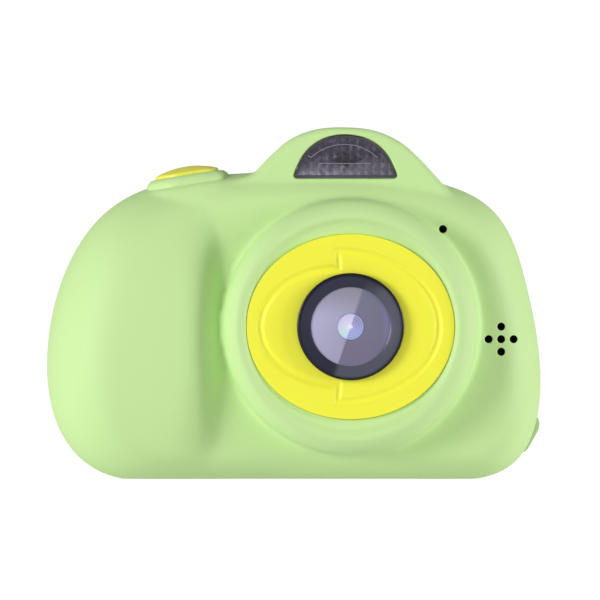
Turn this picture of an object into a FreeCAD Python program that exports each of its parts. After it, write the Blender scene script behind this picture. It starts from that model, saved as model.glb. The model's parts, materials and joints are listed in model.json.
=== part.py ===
"""Toy digital camera for small hands: a soft sleeve over a two-part hard case that holds the works.

Frame: millimetres, +X to the viewer's right when the lens faces the viewer, +Y towards the screen side,
+Z up. The origin is at the middle of the footprint, on the surface that the camera stands on.
"""
import FreeCAD
import Part
import math
import os

V = FreeCAD.Vector

# ---------------------------------------------------------------- driving dimensions
# Control points (x, z) of the closed outline of the body, seen from the front, clockwise from the left.
OUTLINE = [
    (-49.3, 35.7), (-39.3, 54.9), (-22.5, 60.8), (0.3, 61.4), (15.2, 61.9), (41.2, 57.6), (46.6, 39.7),
    (50.9, 18.7), (45.9, -1.5), (21.5, -0.1), (4.3, -0.4), (-17.3, 0.0), (-38.9, -1.8), (-50.2, 11.8),
]
LENS = (11.3, 30.4)          # lens axis, x and z
FACE_DEPTH = 12.5            # how far the flat front of the body stands before the XZ plane
CREST_DEPTH = 19.8           # the same for the most forward line of the hand grip
CREST_X = -30.0              # where that line runs
GRIP_FLANK = 16.0            # from the crest to the foot of the grip's inner flank
GRIP_FALL = 8.0              # how much the crest falls back at the grip's top and bottom
GRIP_MID_Z = 29.0
GRIP_HALF_Z = 31.0
FLANK_DROP = 10.0            # depth of the flank's quarter ellipse
EDGE_ROUND = 7.5             # front edge rounding on the body
GRIP_ROUND = 9.5             # extra rounding on the outer side of the grip
FRONT_RIM = -1.0             # the side wall runs straight between these two depths
REAR_RIM = 13.0
REAR = 20.0                  # rear of the sleeve
REAR_ROUND = 6.0

SKIN = 1.8                   # thickness of the soft sleeve
FIT = 0.1                    # gap between parts that lie against each other
CASE_WALL = 1.7
CASE = SKIN + FIT            # inset of the case's outer face from the outer form
CAVITY = CASE + CASE_WALL    # inset of the case's inner face
SPLIT = 6.0                  # parting plane of the two case halves
PANEL_INSET = 8.0            # edge of the sleeve's rear opening, in from the outline
PANEL_FACE = 19.4            # outer face of the rear panel
PANEL_WALL = 16.4            # inner face of the rear panel

RING_R = 25.6                # lens ring: foot, ridge and dish; the foot spreads where the body falls away
RING_SPREAD = (28.3, 4.0)
RIDGE_R = 22.1
RIDGE_DEPTH = 20.2
DISH_DEPTH = 18.5
BOSS_DEPTH = 16.6            # the case's own ring under it
PLATE = (20.7, 18.4)         # half width and half height of the oval face plate
PLATE_FRONT = 19.4
PLATE_WALL = 1.6
GROOVE = 1.2                 # width of the ornament's groove
GROOVE_DEPTH = 0.4

BEZEL_R = 10.65
BEZEL_FRONT = 20.6
SPIGOT_R = 8.85
GLASS_SEEN_R = 7.85
GLASS_R = 8.15
GLASS_FRONT = 19.8
GLASS_BACK = 18.8
BARREL_R = 8.4
ELEMENT_R = 2.65

HUMP_FRONT = 9.2
HUMP_REAR = 12.0
WINDOW_CORNERS = ((0.1, 60.4), (20.5, 60.4))
WINDOW_SHOULDERS = ((1.7, 64.3), (18.7, 64.3))
WINDOW_TOP = (10.1, 68.6)
WINDOW_FOOT = 60.0

SHUTTER = V(-21.1, -2.0, 59.2)
SHUTTER_TILT = 9.0           # degrees, towards the outer side of the grip
SHUTTER_R = 6.4
SHUTTER_TRAVEL = 0.8
FLANGE_R = 6.95
COLLAR_R = 8.3

MIC = (29.7, 49.8)
SPEAKER_HOLES = (41.3, 27.9)
SPEAKER = (39.5, 27.9)
SPEAKER_SIZE = (8.0, 13.6)
HOLE_R = 0.8
HOLE_PITCH = 2.5

SCREEN = (10.7, 28.3)
SCREEN_WINDOW = (46.0, 35.4)
SCREEN_SEEN = (41.2, 31.0)
MODULE = (50.0, 35.6)
MODULE_FACE = 16.3

BOARD_FRONT = 12.0
BOARD_REAR = 13.2
PAD = (-26.8, 27.0)          # centre of the direction keys
PAD_R = 9.3
OK_R = 3.2
KEYS = {"power": (-20.6, 43.6), "menu": (-32.4, 41.2), "play": (-20.6, 12.4)}
KEY_R = 3.0
KEY_TOP = 20.6
KEY_FLANGE = 0.8             # thickness of the flange that keeps a key in
LIGHT = (-32.8, 13.4)

CASE_SCREWS = [(-19.8, 5.1), (33.0, 5.1), (-9.0, 55.3), (34.9, 51.5), (-43.9, 30.0)]
BOARD_SCREWS = [(-40.3, 19.0), (-29.5, 49.8), (38.9, 16.2), (39.2, 43.5)]

LUG = (47.4, 8.2)            # where the strap lug's middle crosses the outline
LUG_ALONG = (0.481, 0.877)   # the outline's direction there
LUG_Y = (3.4, 8.6)
LUG_HOLE_R = 1.5
LUG_WALL = 1.5
LUG_PROUD = 0.7
LUG_HALF = 1.7               # half the straight length of the lug
SCOOP_R = 4.8

COVER_Y = (7.0, 13.0)        # port cover: its two long edges, and its lowest and highest point
COVER_Z = (13.6, 38.4)
COVER_GAP = 0.15
USB = (17.0, 25.0)           # lowest and highest point of each port
CARD = (26.2, 37.6)

BATTERY = (-37.2, -15.0, -5.5, 2.5, 10.0, 45.0)


# ---------------------------------------------------------------- helpers
def box(x0, x1, y0, y1, z0, z1):
    return Part.makeBox(x1 - x0, y1 - y0, z1 - z0, V(x0, y0, z0))


def rod_y(at, r, y0, y1):
    """Cylinder along Y whose axis runs through the point (x, z)."""
    return Part.makeCylinder(r, y1 - y0, V(at[0], y0, at[1]), V(0, 1, 0))


def tube_y(at, r, bore, y0, y1):
    return rod_y(at, r, y0, y1).cut(rod_y(at, bore, y0 - 1, y1 + 1))


def fused(shapes):
    shapes = list(shapes)
    return shapes[0].multiFuse(shapes[1:]) if len(shapes) > 1 else shapes[0]


def outward(solid):
    if solid.Volume < 0:
        solid.reverse()
    return solid


def slab(cx, cz, width, height, r, y0, y1):
    """Plate in the XZ plane with rounded corners, from y0 to y1."""
    plate = box(cx - width / 2, cx + width / 2, y0, y1, cz - height / 2, cz + height / 2)
    corners = [e for e in plate.Edges if abs(e.Vertexes[0].Y - e.Vertexes[-1].Y) > 1e-6]
    return plate.makeFillet(r, corners)


def oval(inset, y0, y1):
    """Upright oval cylinder on the lens axis, the size of the face plate less the inset."""
    ellipse = Part.Ellipse(V(LENS[0], y0, LENS[1]), PLATE[0] - inset, PLATE[1] - inset)
    ellipse.Axis = V(0, 1, 0)
    ellipse.XAxis = V(1, 0, 0)
    return outward(Part.Face(Part.Wire(ellipse.toShape())).extrude(V(0, y1 - y0, 0)))


def revolved(profile, centre=V(0, 0, 0), axis=V(0, 0, 1), out=V(1, 0, 0)):
    """Solid of revolution. Each profile point is (radius, height) or (radius, height, point on the way)."""
    def place(r, h):
        return centre + out * r + axis * h

    edges = []
    for a, b in zip(profile, profile[1:] + profile[:1]):
        if len(b) == 3:
            edges.append(Part.Arc(place(*a[:2]), place(*b[2]), place(*b[:2])).toShape())
        else:
            edges.append(Part.makeLine(place(*a[:2]), place(*b)))
    return outward(Part.Face(Part.Wire(edges)).revolve(centre, axis, 360))


def on_dome(r, foot, top):
    """Profile point at the top of a spherical cap that starts at radius r, with a point on the way."""
    sphere = (r ** 2 + (top - foot) ** 2) / (2 * (top - foot))
    return 0, top, (r / 2, top - sphere + math.sqrt(sphere ** 2 - r ** 2 / 4))


def lens_turned(profile):
    """Solid of revolution round the lens axis from (radius, forward depth) points."""
    return revolved(profile, V(LENS[0], 0, LENS[1]), V(0, -1, 0))


def on_shutter(shape):
    """Moves a shape from the shutter's own frame, +Z along its travel, into the camera's frame."""
    shape.rotate(V(0, 0, 0), V(0, 1, 0), -SHUTTER_TILT)
    shape.translate(SHUTTER)
    return shape


def ribbon(points, thickness, x0, x1):
    """Flat flexible strip that follows the points (y, z) and spans x0 to x1."""
    curve = Part.BSplineCurve()
    curve.interpolate([V(x0, y, z) for y, z in points])
    a, b = curve.FirstParameter, curve.LastParameter
    sides = ([], [])
    for i in range(13):
        t = a + (b - a) * i / 12
        along = curve.tangent(t)[0]
        across = V(0, -along.z, along.y) * (thickness / 2)
        sides[0].append(curve.value(t) + across)
        sides[1].append(curve.value(t) - across)
    edges = []
    for side in (sides[0], sides[1][::-1]):
        spline = Part.BSplineCurve()
        spline.interpolate(side)
        edges.append(spline.toShape())
    edges.insert(1, Part.makeLine(sides[0][-1], sides[1][-1]))
    edges.append(Part.makeLine(sides[1][0], sides[0][0]))
    return outward(Part.Face(Part.Wire(edges)).extrude(V(x1 - x0, 0, 0)))


def wire(points, r):
    """Round wire through the points."""
    path = Part.BSplineCurve()
    path.interpolate([V(*p) for p in points])
    ring = Part.Wire(Part.Circle(path.value(path.FirstParameter), path.tangent(path.FirstParameter)[0], r)
                     .toShape())
    return outward(Part.Wire(path.toShape()).makePipeShell([ring], True, True))


# ---------------------------------------------------------------- the body's form
def smooth_max(a, b, blend):
    h = max(blend - abs(a - b), 0) / blend
    return max(a, b) + h * h * blend / 4


def face_depth(x, z):
    """How far the front of the body stands forward at (x, z), with the hand grip's swell."""
    away = max(0, math.hypot(x - LENS[0], z - LENS[1]) - 24)
    body = FACE_DEPTH - 0.002 * away ** 2
    crest = CREST_DEPTH - GRIP_FALL * abs((z - GRIP_MID_Z) / GRIP_HALF_Z) ** 2.5
    across = max(0, (x - CREST_X) / GRIP_FLANK)
    if across < 1:
        grip = crest - FLANK_DROP * (1 - math.sqrt(1 - across ** 2))
    else:
        grip = crest - FLANK_DROP - 2 * FLANK_DROP * (across - 1)
    return smooth_max(body, grip, 2.0)


def outline_points(inset, doublings=3):
    """Control points of the outline, moved inwards, after each span is halved several times."""
    n = len(OUTLINE)
    curve = Part.BSplineCurve()
    curve.buildFromPolesMultsKnots(
        [V(x, 0, z) for x, z in OUTLINE], [1] * (n + 1), [float(i) for i in range(n + 1)], True, 3
    )
    for _ in range(doublings):
        knots = curve.getKnots()
        for a, b in zip(knots, knots[1:]):
            curve.insertKnot((a + b) / 2, 1, 0.0)
    poles = [(p.x, p.z) for p in curve.getPoles()]
    moved = []
    for i, (x, z) in enumerate(poles):
        before, after = poles[i - 1], poles[(i + 1) % len(poles)]
        tx, tz = after[0] - before[0], after[1] - before[1]
        length = math.hypot(tx, tz)
        moved.append((x + inset * tz / length, z - inset * tx / length))
    return moved


def outline_face(inset, y):
    points = outline_points(inset)
    n = len(points)
    curve = Part.BSplineCurve()
    curve.buildFromPolesMultsKnots(
        [V(x, y, z) for x, z in points], [1] * (n + 1), [float(i) for i in range(n + 1)], True, 3
    )
    return Part.Face(Part.Wire([curve.toShape()]))


def form_column(x, z, inset, cap=8.0, rings=24, steps=6):
    """Control points of the form from its front centre, over the edge at (x, z), to its rear centre."""
    reach = math.hypot(x - LENS[0], z - LENS[1])
    dx, dz = (x - LENS[0]) / reach, (z - LENS[1]) / reach
    width = EDGE_ROUND + GRIP_ROUND * max(0, -dx) ** 6 - inset
    rear_width, rear_depth = REAR_ROUND - inset, REAR - REAR_RIM - inset

    def at(r, y):
        return V(LENS[0] + r * dx, y, LENS[1] + r * dz)

    column = []
    for j in range(rings + 1):
        p = at(cap + (reach - width - cap) * j / rings, 0)
        column.append(V(p.x, inset - face_depth(p.x, p.z), p.z))
    for j in range(1, steps + 1):
        turn = math.pi / 2 * j / steps
        p = at(reach - width + width * math.sin(turn), 0)
        rise = face_depth(p.x, p.z) - inset + FRONT_RIM
        column.append(V(p.x, FRONT_RIM - rise * math.cos(turn), p.z))
    column += [at(reach, FRONT_RIM + (REAR_RIM - FRONT_RIM) * j / 4) for j in (1, 2, 3)]
    for j in range(steps + 1):
        turn = math.pi / 2 * j / steps
        column.append(at(reach - rear_width * (1 - math.cos(turn)), REAR_RIM + rear_depth * math.sin(turn)))
    inner = reach - rear_width
    column += [at(inner - (inner - cap) * j / 4, REAR - inset) for j in (1, 2, 3, 4)]
    return column


def pebble(inset):
    """The smooth body as one closed surface with two flat caps, moved inwards by inset."""
    columns = [form_column(x, z, inset) for x, z in outline_points(inset)]
    around, along = len(columns), len(columns[0])
    surface = Part.BSplineSurface()
    surface.buildFromPolesMultsKnots(
        columns,
        [1] * (around + 1), [4] + [1] * (along - 4) + [4],
        [float(i) for i in range(around + 1)], [float(i) for i in range(along - 2)],
        True, False, 3, 3,
    )
    ends = [surface.vIso(v).toShape() for v in (0.0, float(along - 3))]
    shell = Part.makeShell([surface.toShape()] + [Part.Face(Part.Wire([e])) for e in ends])
    shell.sewShape()
    return outward(Part.makeSolid(shell))


# Points (x, z) that the outline of the flash housing passes through, from its left foot to its right one.
HUMP_POINTS = [
    (-12.3, 59.7), (-8.2, 60.9), (-5.1, 64.0), (-0.7, 67.75), (4.5, 69.75), (10.3, 70.15), (16.1, 69.5),
    (21.3, 67.2), (25.3, 63.7), (28.9, 59.8), (32.7, 55.5),
]


def hump(inset, front_round, rear_round, foot=48.0):
    """The flash housing on top of the body, moved inwards by inset."""
    outer = Part.BSplineCurve()
    outer.interpolate([V(x, inset - HUMP_FRONT, z) for x, z in HUMP_POINTS])
    moved = []
    for knot in outer.getKnots():
        along = outer.tangent(knot)[0]
        moved.append(outer.value(knot) + V(along.z, 0, -along.x) * inset)
    curve = Part.BSplineCurve()
    curve.interpolate(moved)
    first, last = curve.StartPoint, curve.EndPoint
    corners = [V(last.x, last.y, foot), V(first.x, first.y, foot)]
    wire = Part.Wire([
        curve.toShape(), Part.makeLine(last, corners[0]), Part.makeLine(corners[0], corners[1]),
        Part.makeLine(corners[1], first),
    ])
    solid = outward(Part.Face(wire).extrude(V(0, HUMP_FRONT + HUMP_REAR - 2 * inset, 0)))
    for y, radius in ((inset - HUMP_FRONT, front_round), (HUMP_REAR - inset, rear_round)):
        edges = [
            e for e in solid.Edges
            if abs(e.CenterOfMass.y - y) < 1e-3 and e.CenterOfMass.z > foot + 8 and e.Length > 30
        ]
        if radius > 0:
            solid = solid.makeFillet(radius, edges)
    return solid


def window_shape(inset, y0, y1):
    """The flash window: a round top over flanks that run out to two lower corners."""
    (ax, az), (bx, bz) = WINDOW_CORNERS
    (cx, cz), (dx, dz) = WINDOW_SHOULDERS
    points = [V(ax + 0.4, y0, WINDOW_FOOT), V(ax, y0, az + 0.5), V(cx, y0, cz), V(WINDOW_TOP[0], y0, WINDOW_TOP[1]),
              V(dx, y0, dz), V(bx, y0, bz + 0.5), V(bx - 0.4, y0, WINDOW_FOOT)]
    wire = Part.Wire([
        Part.makeLine(points[0], points[1]),
        Part.makeLine(points[1], points[2]),
        Part.Arc(points[2], points[3], points[4]).toShape(),
        Part.makeLine(points[4], points[5]),
        Part.makeLine(points[5], points[6]),
        Part.makeLine(points[6], points[0]),
    ])
    if inset:
        wire = wire.makeOffset2D(-inset, 2)
    return outward(Part.Face(wire).extrude(V(0, y1 - y0, 0)))


def lens_ring():
    return lens_turned([(0, 4), RING_SPREAD, (RING_R, FACE_DEPTH), (RIDGE_R, RIDGE_DEPTH, (24.9, 17.6)),
                        (19.3, 18.8, (20.8, 19.2)), (17.5, DISH_DEPTH), (0, DISH_DEPTH)])


def lens_boss(gap):
    """The case's raised ring under the sleeve's one, or the room for it."""
    return lens_turned([(0, 6), (23.7 + gap, 6), (23.7 + gap, 12.6),
                        (21.4 + gap, BOSS_DEPTH + gap, (23.1 + gap, 15.3 + gap)),
                        (0, BOSS_DEPTH + gap)])


def lug_frame():
    """Centre of the lug's hole, and the unit vectors along the outline and outwards."""
    along = V(LUG_ALONG[0], 0, LUG_ALONG[1])
    out = V(LUG_ALONG[1], 0, -LUG_ALONG[0])
    centre = V(LUG[0], 0, LUG[1]) + out * (LUG_PROUD - LUG_WALL - LUG_HOLE_R)
    return centre, along, out


def lug_block(r, y0, y1):
    centre, along, out = lug_frame()
    ends = [centre + along * LUG_HALF, centre - along * LUG_HALF]
    corners = [ends[0] + out * r, ends[1] + out * r, ends[1] - out * r, ends[0] - out * r]
    middle = Part.Face(Part.makePolygon([c + V(0, y0, 0) for c in corners + corners[:1]]))
    return fused([outward(middle.extrude(V(0, y1 - y0, 0)))] + [rod_y((e.x, e.z), r, y0, y1) for e in ends])


def lug_scoops():
    """Finger-soft hollows before and behind the lug, through which a strap is threaded."""
    along, out = lug_frame()[1:]
    half = LUG_HALF + 1.1
    edge = V(LUG[0], 0, LUG[1]) - along * half
    scoops = [Part.makeCylinder(SCOOP_R, 2 * half, edge + V(0, y, 0), along) for y in LUG_Y]
    keep = box(0, 80, LUG_Y[0], LUG_Y[1], -20, 30)
    return fused([s.cut(keep) for s in scoops] + [strap_slot()])


def strap_slot():
    """Straight slot from the rear to the lug's hole, open along the side of the body."""
    centre, along, out = lug_frame()
    r = LUG_HOLE_R + 0.6
    corners = [centre + along * r, centre + along * r + out * 9, centre - along * r + out * 9, centre - along * r]
    side = Part.Face(Part.makePolygon([c + V(0, LUG_Y[1], 0) for c in corners + corners[:1]]))
    side = outward(side.extrude(V(0, 24 - LUG_Y[1], 0)))
    return side.fuse(rod_y((centre.x, centre.z), r, LUG_Y[1], 24))


def posts(places, r, y0, y1):
    return [rod_y(p, r, y0, y1) for p in places]


def speaker_holes(y0, y1):
    steps = [(0, 0), (1, 0), (-1, 0), (0, 1), (0, -1)]
    return [rod_y((SPEAKER_HOLES[0] + HOLE_PITCH * i, SPEAKER_HOLES[1] + HOLE_PITCH * j), HOLE_R, y0, y1)
            for i, j in steps]


def screw(at, head_y, length, head_r, head, shank_r, towards):
    """Pan-head screw along Y whose head rests at head_y; towards is -1 when it is driven forwards."""
    ends = sorted((head_y, head_y + towards * length))
    heads = sorted((head_y, head_y - towards * head))
    solid = rod_y(at, shank_r, ends[0], ends[1]).fuse(rod_y(at, head_r, heads[0], heads[1]))
    outer = heads[0] if towards > 0 else heads[1]
    slot = [box(at[0] - a, at[0] + a, outer - 0.5, outer + 0.5, at[1] - b, at[1] + b)
            for a, b in ((head_r * 0.65, 0.22), (0.22, head_r * 0.65))]
    return solid.cut(fused(slot))


def sector(r0, r1, half_angle, turn, y0, y1):
    """Part of a flat ring round the pad's centre."""
    ring = tube_y(PAD, r1, r0, y0, y1)
    a = math.radians(half_angle)
    reach = 3 * r1
    wedge = Part.Face(Part.makePolygon([
        V(0, y0, 0), V(reach * math.sin(a), y0, reach * math.cos(a)),
        V(-reach * math.sin(a), y0, reach * math.cos(a)), V(0, y0, 0),
    ]))
    wedge.rotate(V(0, 0, 0), V(0, 1, 0), turn)
    wedge.translate(V(PAD[0], 0, PAD[1]))
    return ring.common(outward(wedge.extrude(V(0, y1 - y0, 0))))


# ---------------------------------------------------------------- the parts
DIRECTIONS = {"up": 0, "right": 90, "down": 180, "left": 270}


def key_holes(y0, y1):
    holes = [rod_y(at, KEY_R + 0.08, y0, y1) for at in KEYS.values()]
    holes.append(rod_y(PAD, OK_R + 0.08, y0, y1))
    holes += [sector(4.2, PAD_R + 0.1, 38.5, turn, y0, y1) for turn in DIRECTIONS.values()]
    holes.append(rod_y(LIGHT, 1.05, y0, y1))
    return fused(holes)


def switch_places():
    """Where each rear key presses its switch."""
    places = {name + "_button": at for name, at in KEYS.items()}
    places["ok_button"] = PAD
    for name, turn in DIRECTIONS.items():
        a = math.radians(turn)
        places[name + "_key"] = (PAD[0] + 6.8 * math.sin(a), PAD[1] + 6.8 * math.cos(a))
    return places


def rear_keys():
    """Each rear key with its flange, and the switch plunger that it rides on."""
    y0 = PANEL_WALL - 0.1 - KEY_FLANGE
    made = {}
    for name, at in KEYS.items():
        cap = rod_y(at, KEY_R, y0, KEY_TOP)
        rim = [e for e in cap.Edges if abs(e.CenterOfMass.y - KEY_TOP) < 1e-3]
        made[name + "_button"] = cap.makeFillet(0.7, rim).fuse(rod_y(at, KEY_R + 0.8, y0, y0 + KEY_FLANGE))
    cap = rod_y(PAD, OK_R, y0, KEY_TOP)
    rim = [e for e in cap.Edges if abs(e.CenterOfMass.y - KEY_TOP) < 1e-3]
    made["ok_button"] = cap.makeFillet(0.7, rim).fuse(rod_y(PAD, OK_R + 0.4, y0, y0 + KEY_FLANGE))
    for name, turn in DIRECTIONS.items():
        cap = sector(4.3, PAD_R, 38.0, turn, y0, KEY_TOP - 0.2)
        sides = [e for e in cap.Edges if e.BoundBox.YLength > 2]
        cap = cap.makeFillet(0.6, sides)
        rim = [e for e in cap.Edges if abs(e.BoundBox.YMin - KEY_TOP + 0.2) < 1e-3]
        cap = cap.makeFillet(0.5, rim)
        made[name + "_key"] = cap.fuse(sector(4.0, PAD_R + 0.6, 41.0, turn, y0, y0 + KEY_FLANGE))
    for name, at in switch_places().items():
        made[name.split("_")[0] + "_plunger"] = rod_y(at, 0.95, BOARD_REAR + 0.75, y0 - 0.02)
    return made


def key_switches():
    bodies = []
    for x, z in switch_places().values():
        body = box(x - 2.2, x + 2.2, BOARD_REAR + 0.03, BOARD_REAR + 1.25, z - 1.6, z + 1.6)
        bodies.append(body.cut(rod_y((x, z), 1.0, BOARD_REAR + 0.3, BOARD_REAR + 2)))
    return Part.makeCompound(bodies)


def shutter_parts():
    """The release button, the plunger under it, and the switch on its small board."""
    button = revolved([
        (0, 2.0), (5.1, 1.2), (5.1, -4.75), (FLANGE_R, -4.75), (FLANGE_R, -3.95), (SHUTTER_R, -3.95), (SHUTTER_R, 1.5),
        (5.9, 2.15, (6.27, 1.95)), on_dome(5.9, 2.15, 3.2),
    ])
    button = button.fuse(Part.makeCylinder(1.7, 7.0, V(0, 0, -5.0)))
    body = Part.makeBox(6, 6, 2.7, V(-3, -3, -9.6)).cut(Part.makeCylinder(1.8, 2, V(0, 0, -8.4)))
    return {
        "shutter_button": on_shutter(button),
        "shutter_plunger": on_shutter(Part.makeCylinder(1.7, 2.35, V(0, 0, -7.4))),
        "shutter_switch": on_shutter(body),
        "shutter_board": on_shutter(Part.makeBox(9, 10, 0.9, V(-4.5, -5, -10.55))),
    }


def shutter_hole(r, low, high):
    return on_shutter(Part.makeCylinder(r, high - low, V(0, 0, low)))


def port_box(gap, x0=44.0):
    return box(x0, 60, COVER_Y[0] + gap, COVER_Y[1] - gap, COVER_Z[0] + gap, COVER_Z[1] - gap)


def sleeve_and_cover(form, skin_inside):
    """The soft sleeve with everything that is cut out of it, and the port cover cut from its side."""
    ring = lens_ring()
    collar = on_shutter(revolved([(0, -2.5), (8.9, -2.5), (COLLAR_R, 0), (6.9, 1.45, (7.7, 0.95)), (0, 1.45)]))
    outer = form.fuse(hump(0, 1.3, 4.0)).fuse(ring).fuse(collar)
    inside = skin_inside.fuse(hump(SKIN, 0, 2.2)).fuse(lens_boss(FIT))
    cover = form.common(port_box(COVER_GAP)).cut(skin_inside)
    cuts = [
        oval(-FIT, -30, -8), window_shape(-FIT, -20, -5), shutter_hole(SHUTTER_R + 0.08, -6, 6),
        outline_face(PANEL_INSET, 17).extrude(V(0, 6, 0)), port_box(0),
        rod_y(MIC, HOLE_R, -30, 0), lug_block(LUG_HOLE_R + LUG_WALL + FIT, LUG_Y[0] - FIT, LUG_Y[1] + FIT),
        lug_scoops(),
    ] + speaker_holes(-30, 0)
    sleeve = outer.cut(inside)
    for cut in cuts:
        sleeve = sleeve.cut(cut)
    return sleeve, cover


def case_halves(within):
    """Both halves of the hard case: walls, bosses and screw posts, then every opening."""
    walls = pebble(CASE).fuse(hump(CASE, 0, 2.1)).fuse(lens_boss(0))
    room = pebble(CAVITY).fuse(hump(CAVITY, 0, 0.4))
    shell = walls.cut(room).cut(oval(-FIT, -30, -(FACE_DEPTH - SKIN - FIT)))
    panel = outline_face(PANEL_INSET + FIT, PANEL_WALL).extrude(V(0, PANEL_FACE - PANEL_WALL, 0))
    centre = lug_frame()[0]
    guide = on_shutter(Part.makeCylinder(8.4, 3.0, V(0, 0, -3.75)))
    inner = [
        guide, rod_y((centre.x, centre.z), 7.4, -3.5, 18.3),
        box(35, 45.5, -12, -6.5, 19.8, 36), tube_y(MIC, 3.1, 2.05, -10, -6.5),
        box(-36.6, -35.4, -18, -6.5, 12, 44), box(-24.6, -23.4, -18, -6.5, 12, 44),
    ] + posts(CASE_SCREWS, 3.0, -14, 17) + posts(BOARD_SCREWS, 2.1, BOARD_REAR + 0.02, 17)
    hard = shell.fuse(fused(inner).common(within)).fuse(panel)
    openings = [
        shutter_hole(SHUTTER_R + 0.1, -4, 6), window_shape(1.2, -12, -3.45),
        shutter_hole(FLANGE_R + 0.12, -4.75 - SHUTTER_TRAVEL - 0.3, -3.82),
        slab(*SPEAKER, SPEAKER_SIZE[0] + 0.2, SPEAKER_SIZE[1] + 0.2, 1.5, -5.72, -2.0),
        slab(*SPEAKER, SPEAKER_SIZE[0] + 0.8, SPEAKER_SIZE[1] + 0.6, 1.5, -6.47, -5.65),
        box(27, 43.9, 9.9, 12.0, CARD[0] - 1.3, CARD[1] + 0.95),
        rod_y(LENS, BARREL_R + FIT, -20, -5), rod_y(MIC, HOLE_R, -30, -6),
        slab(*SCREEN, SCREEN_WINDOW[0] + 0.2, SCREEN_WINDOW[1] + 0.2, 3.1, 18.1, 22),
        slab(*SCREEN, SCREEN_SEEN[0] + 0.4, SCREEN_SEEN[1] + 0.4, 1.0, 15, 20),
        key_holes(14, 24), box(40, 60, 8.6, 12.1, *USB), box(40, 60, 9.5, 12.1, *CARD),
        lug_block(LUG_HOLE_R + LUG_WALL + FIT, LUG_Y[0] - FIT, LUG_Y[1] + FIT), lug_scoops(),
    ] + speaker_holes(-30, -6)
    openings += posts(CASE_SCREWS, 1.02, -3.2, SPLIT) + posts(CASE_SCREWS, 1.15, SPLIT - 0.01, 10)
    openings += posts(CASE_SCREWS, 2.1, 9.0, 24) + posts(BOARD_SCREWS, 0.82, BOARD_REAR, 16.9)
    for opening in openings:
        hard = hard.cut(opening)
    front = hard.common(box(-70, 70, -40, SPLIT, -10, 90))
    rear = hard.common(box(-70, 70, SPLIT + 0.02, 40, -10, 90))
    return front, rear


def face_plate():
    """Oval yellow plate in the lens ring: a cup that stands on the case, with its shallow ornament."""
    cup = oval(0, -PLATE_FRONT, -(FACE_DEPTH - SKIN))
    rim = [e for e in cup.Edges if abs(e.CenterOfMass.y + PLATE_FRONT) < 1e-3]
    cup = cup.makeFillet(0.9, rim)
    cup = cup.cut(oval(PLATE_WALL, -(PLATE_FRONT - PLATE_WALL), 0)).cut(rod_y(LENS, SPIGOT_R + 0.05, -30, 0))
    return cup.cut(ornament())


def ornament():
    """Shallow groove: a smaller arc on the left, a larger one on the right, joined by two short steps."""
    x, z = LENS
    step = x - 2.6
    front, floor = -PLATE_FRONT - 1, -PLATE_FRONT + GROOVE_DEPTH
    strips = []
    for side, half_width, half_height in ((-1, 15.1, 11.6), (1, 19.8, 15.4)):
        solids = []
        for widen in (GROOVE / 2, -GROOVE / 2):
            radii = sorted((half_width + widen, half_height + widen))
            ellipse = Part.Ellipse(V(step, front, z), radii[1], radii[0])
            ellipse.Axis = V(0, 1, 0)
            ellipse.XAxis = V(1, 0, 0)
            solids.append(outward(Part.Face(Part.Wire(ellipse.toShape())).extrude(V(0, floor - front, 0))))
        ends = sorted((step, step + side * 40))
        strips.append(solids[0].cut(solids[1]).common(box(*ends, front - 1, 0, 0, 80)))
    for sign in (-1, 1):
        ends = sorted((z + sign * 11.0, z + sign * 16.0))
        strips.append(box(step - GROOVE / 2, step + GROOVE / 2, front, floor, *ends))
    return fused(strips)


def lens_parts():
    bezel = lens_turned([
        (8.25, 17.7), (SPIGOT_R, 17.7), (SPIGOT_R, PLATE_FRONT + 0.02), (BEZEL_R, PLATE_FRONT + 0.02),
        (BEZEL_R, BEZEL_FRONT - 0.35), (BEZEL_R - 0.35, BEZEL_FRONT, (BEZEL_R - 0.1, BEZEL_FRONT - 0.1)),
        (9.7, BEZEL_FRONT), (GLASS_SEEN_R, GLASS_FRONT + 0.2), (GLASS_SEEN_R, GLASS_FRONT + 0.05),
        (8.25, GLASS_FRONT + 0.05),
    ])
    cone = lens_turned([
        (7.7, 18.72), (8.15, 18.72), (8.15, 17.65), (6.9, 17.65), (6.9, 14.9), (2.75, 14.9), (2.75, 15.5),
    ])
    barrel = lens_turned([
        (7.0, 17.6), (BARREL_R, 17.6), (BARREL_R, 8.8), (11.0, 8.8), (11.0, 7.4), (BARREL_R, 7.4), (BARREL_R, 3.0),
        (5.5, 3.0), (5.5, 7.0), (2.7, 9.0), (2.7, 14.85), (7.0, 14.85),
    ])
    element = lens_turned([(0, 13.0), (ELEMENT_R, 13.0), (ELEMENT_R, 15.0), on_dome(ELEMENT_R, 15.0, 16.1)])
    x, z = LENS
    return {
        "lens_bezel": bezel,
        "lens_window": rod_y(LENS, GLASS_R, -GLASS_FRONT, -GLASS_BACK),
        "lens_cone": cone,
        "lens_barrel": barrel,
        "front_element": element,
        "image_sensor": box(x - 3.4, x + 3.4, -3.95, -2.92, z - 3.2, z + 3.2),
        "sensor_board": box(x - 10, x + 10, -2.9, -1.9, z - 8.5, z + 8.5),
        "sensor_flex": ribbon([(-1.72, 30), (-1.70, 27.5), (-1.55, 25), (-0.3, 22.3), (2.6, 20.0), (6.2, 19.2), (9.3, 20.0),
                               (11.2, 22.0), (11.74, 24.2), (11.82, 26.4)],
                              0.2, x - 4, x + 4),
    }


def flash_parts():
    window = window_shape(0, -9.15, -(HUMP_FRONT - CASE) - 0.03)
    tray = window_shape(1.3, -7.25, -3.6).cut(window_shape(2.1, -8, -4.4))
    tray = tray.cut(box(8.1, 12.1, -9, 0, 61.4, 64.8))
    return {
        "flash_window": window,
        "flash_reflector": tray,
        "flash_led": box(8.4, 11.8, -4.6, -3.5, 61.6, 64.6),
        "flash_board": box(2.6, 17.6, -3.48, -2.6, 58.6, 64.9),
    }


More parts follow.
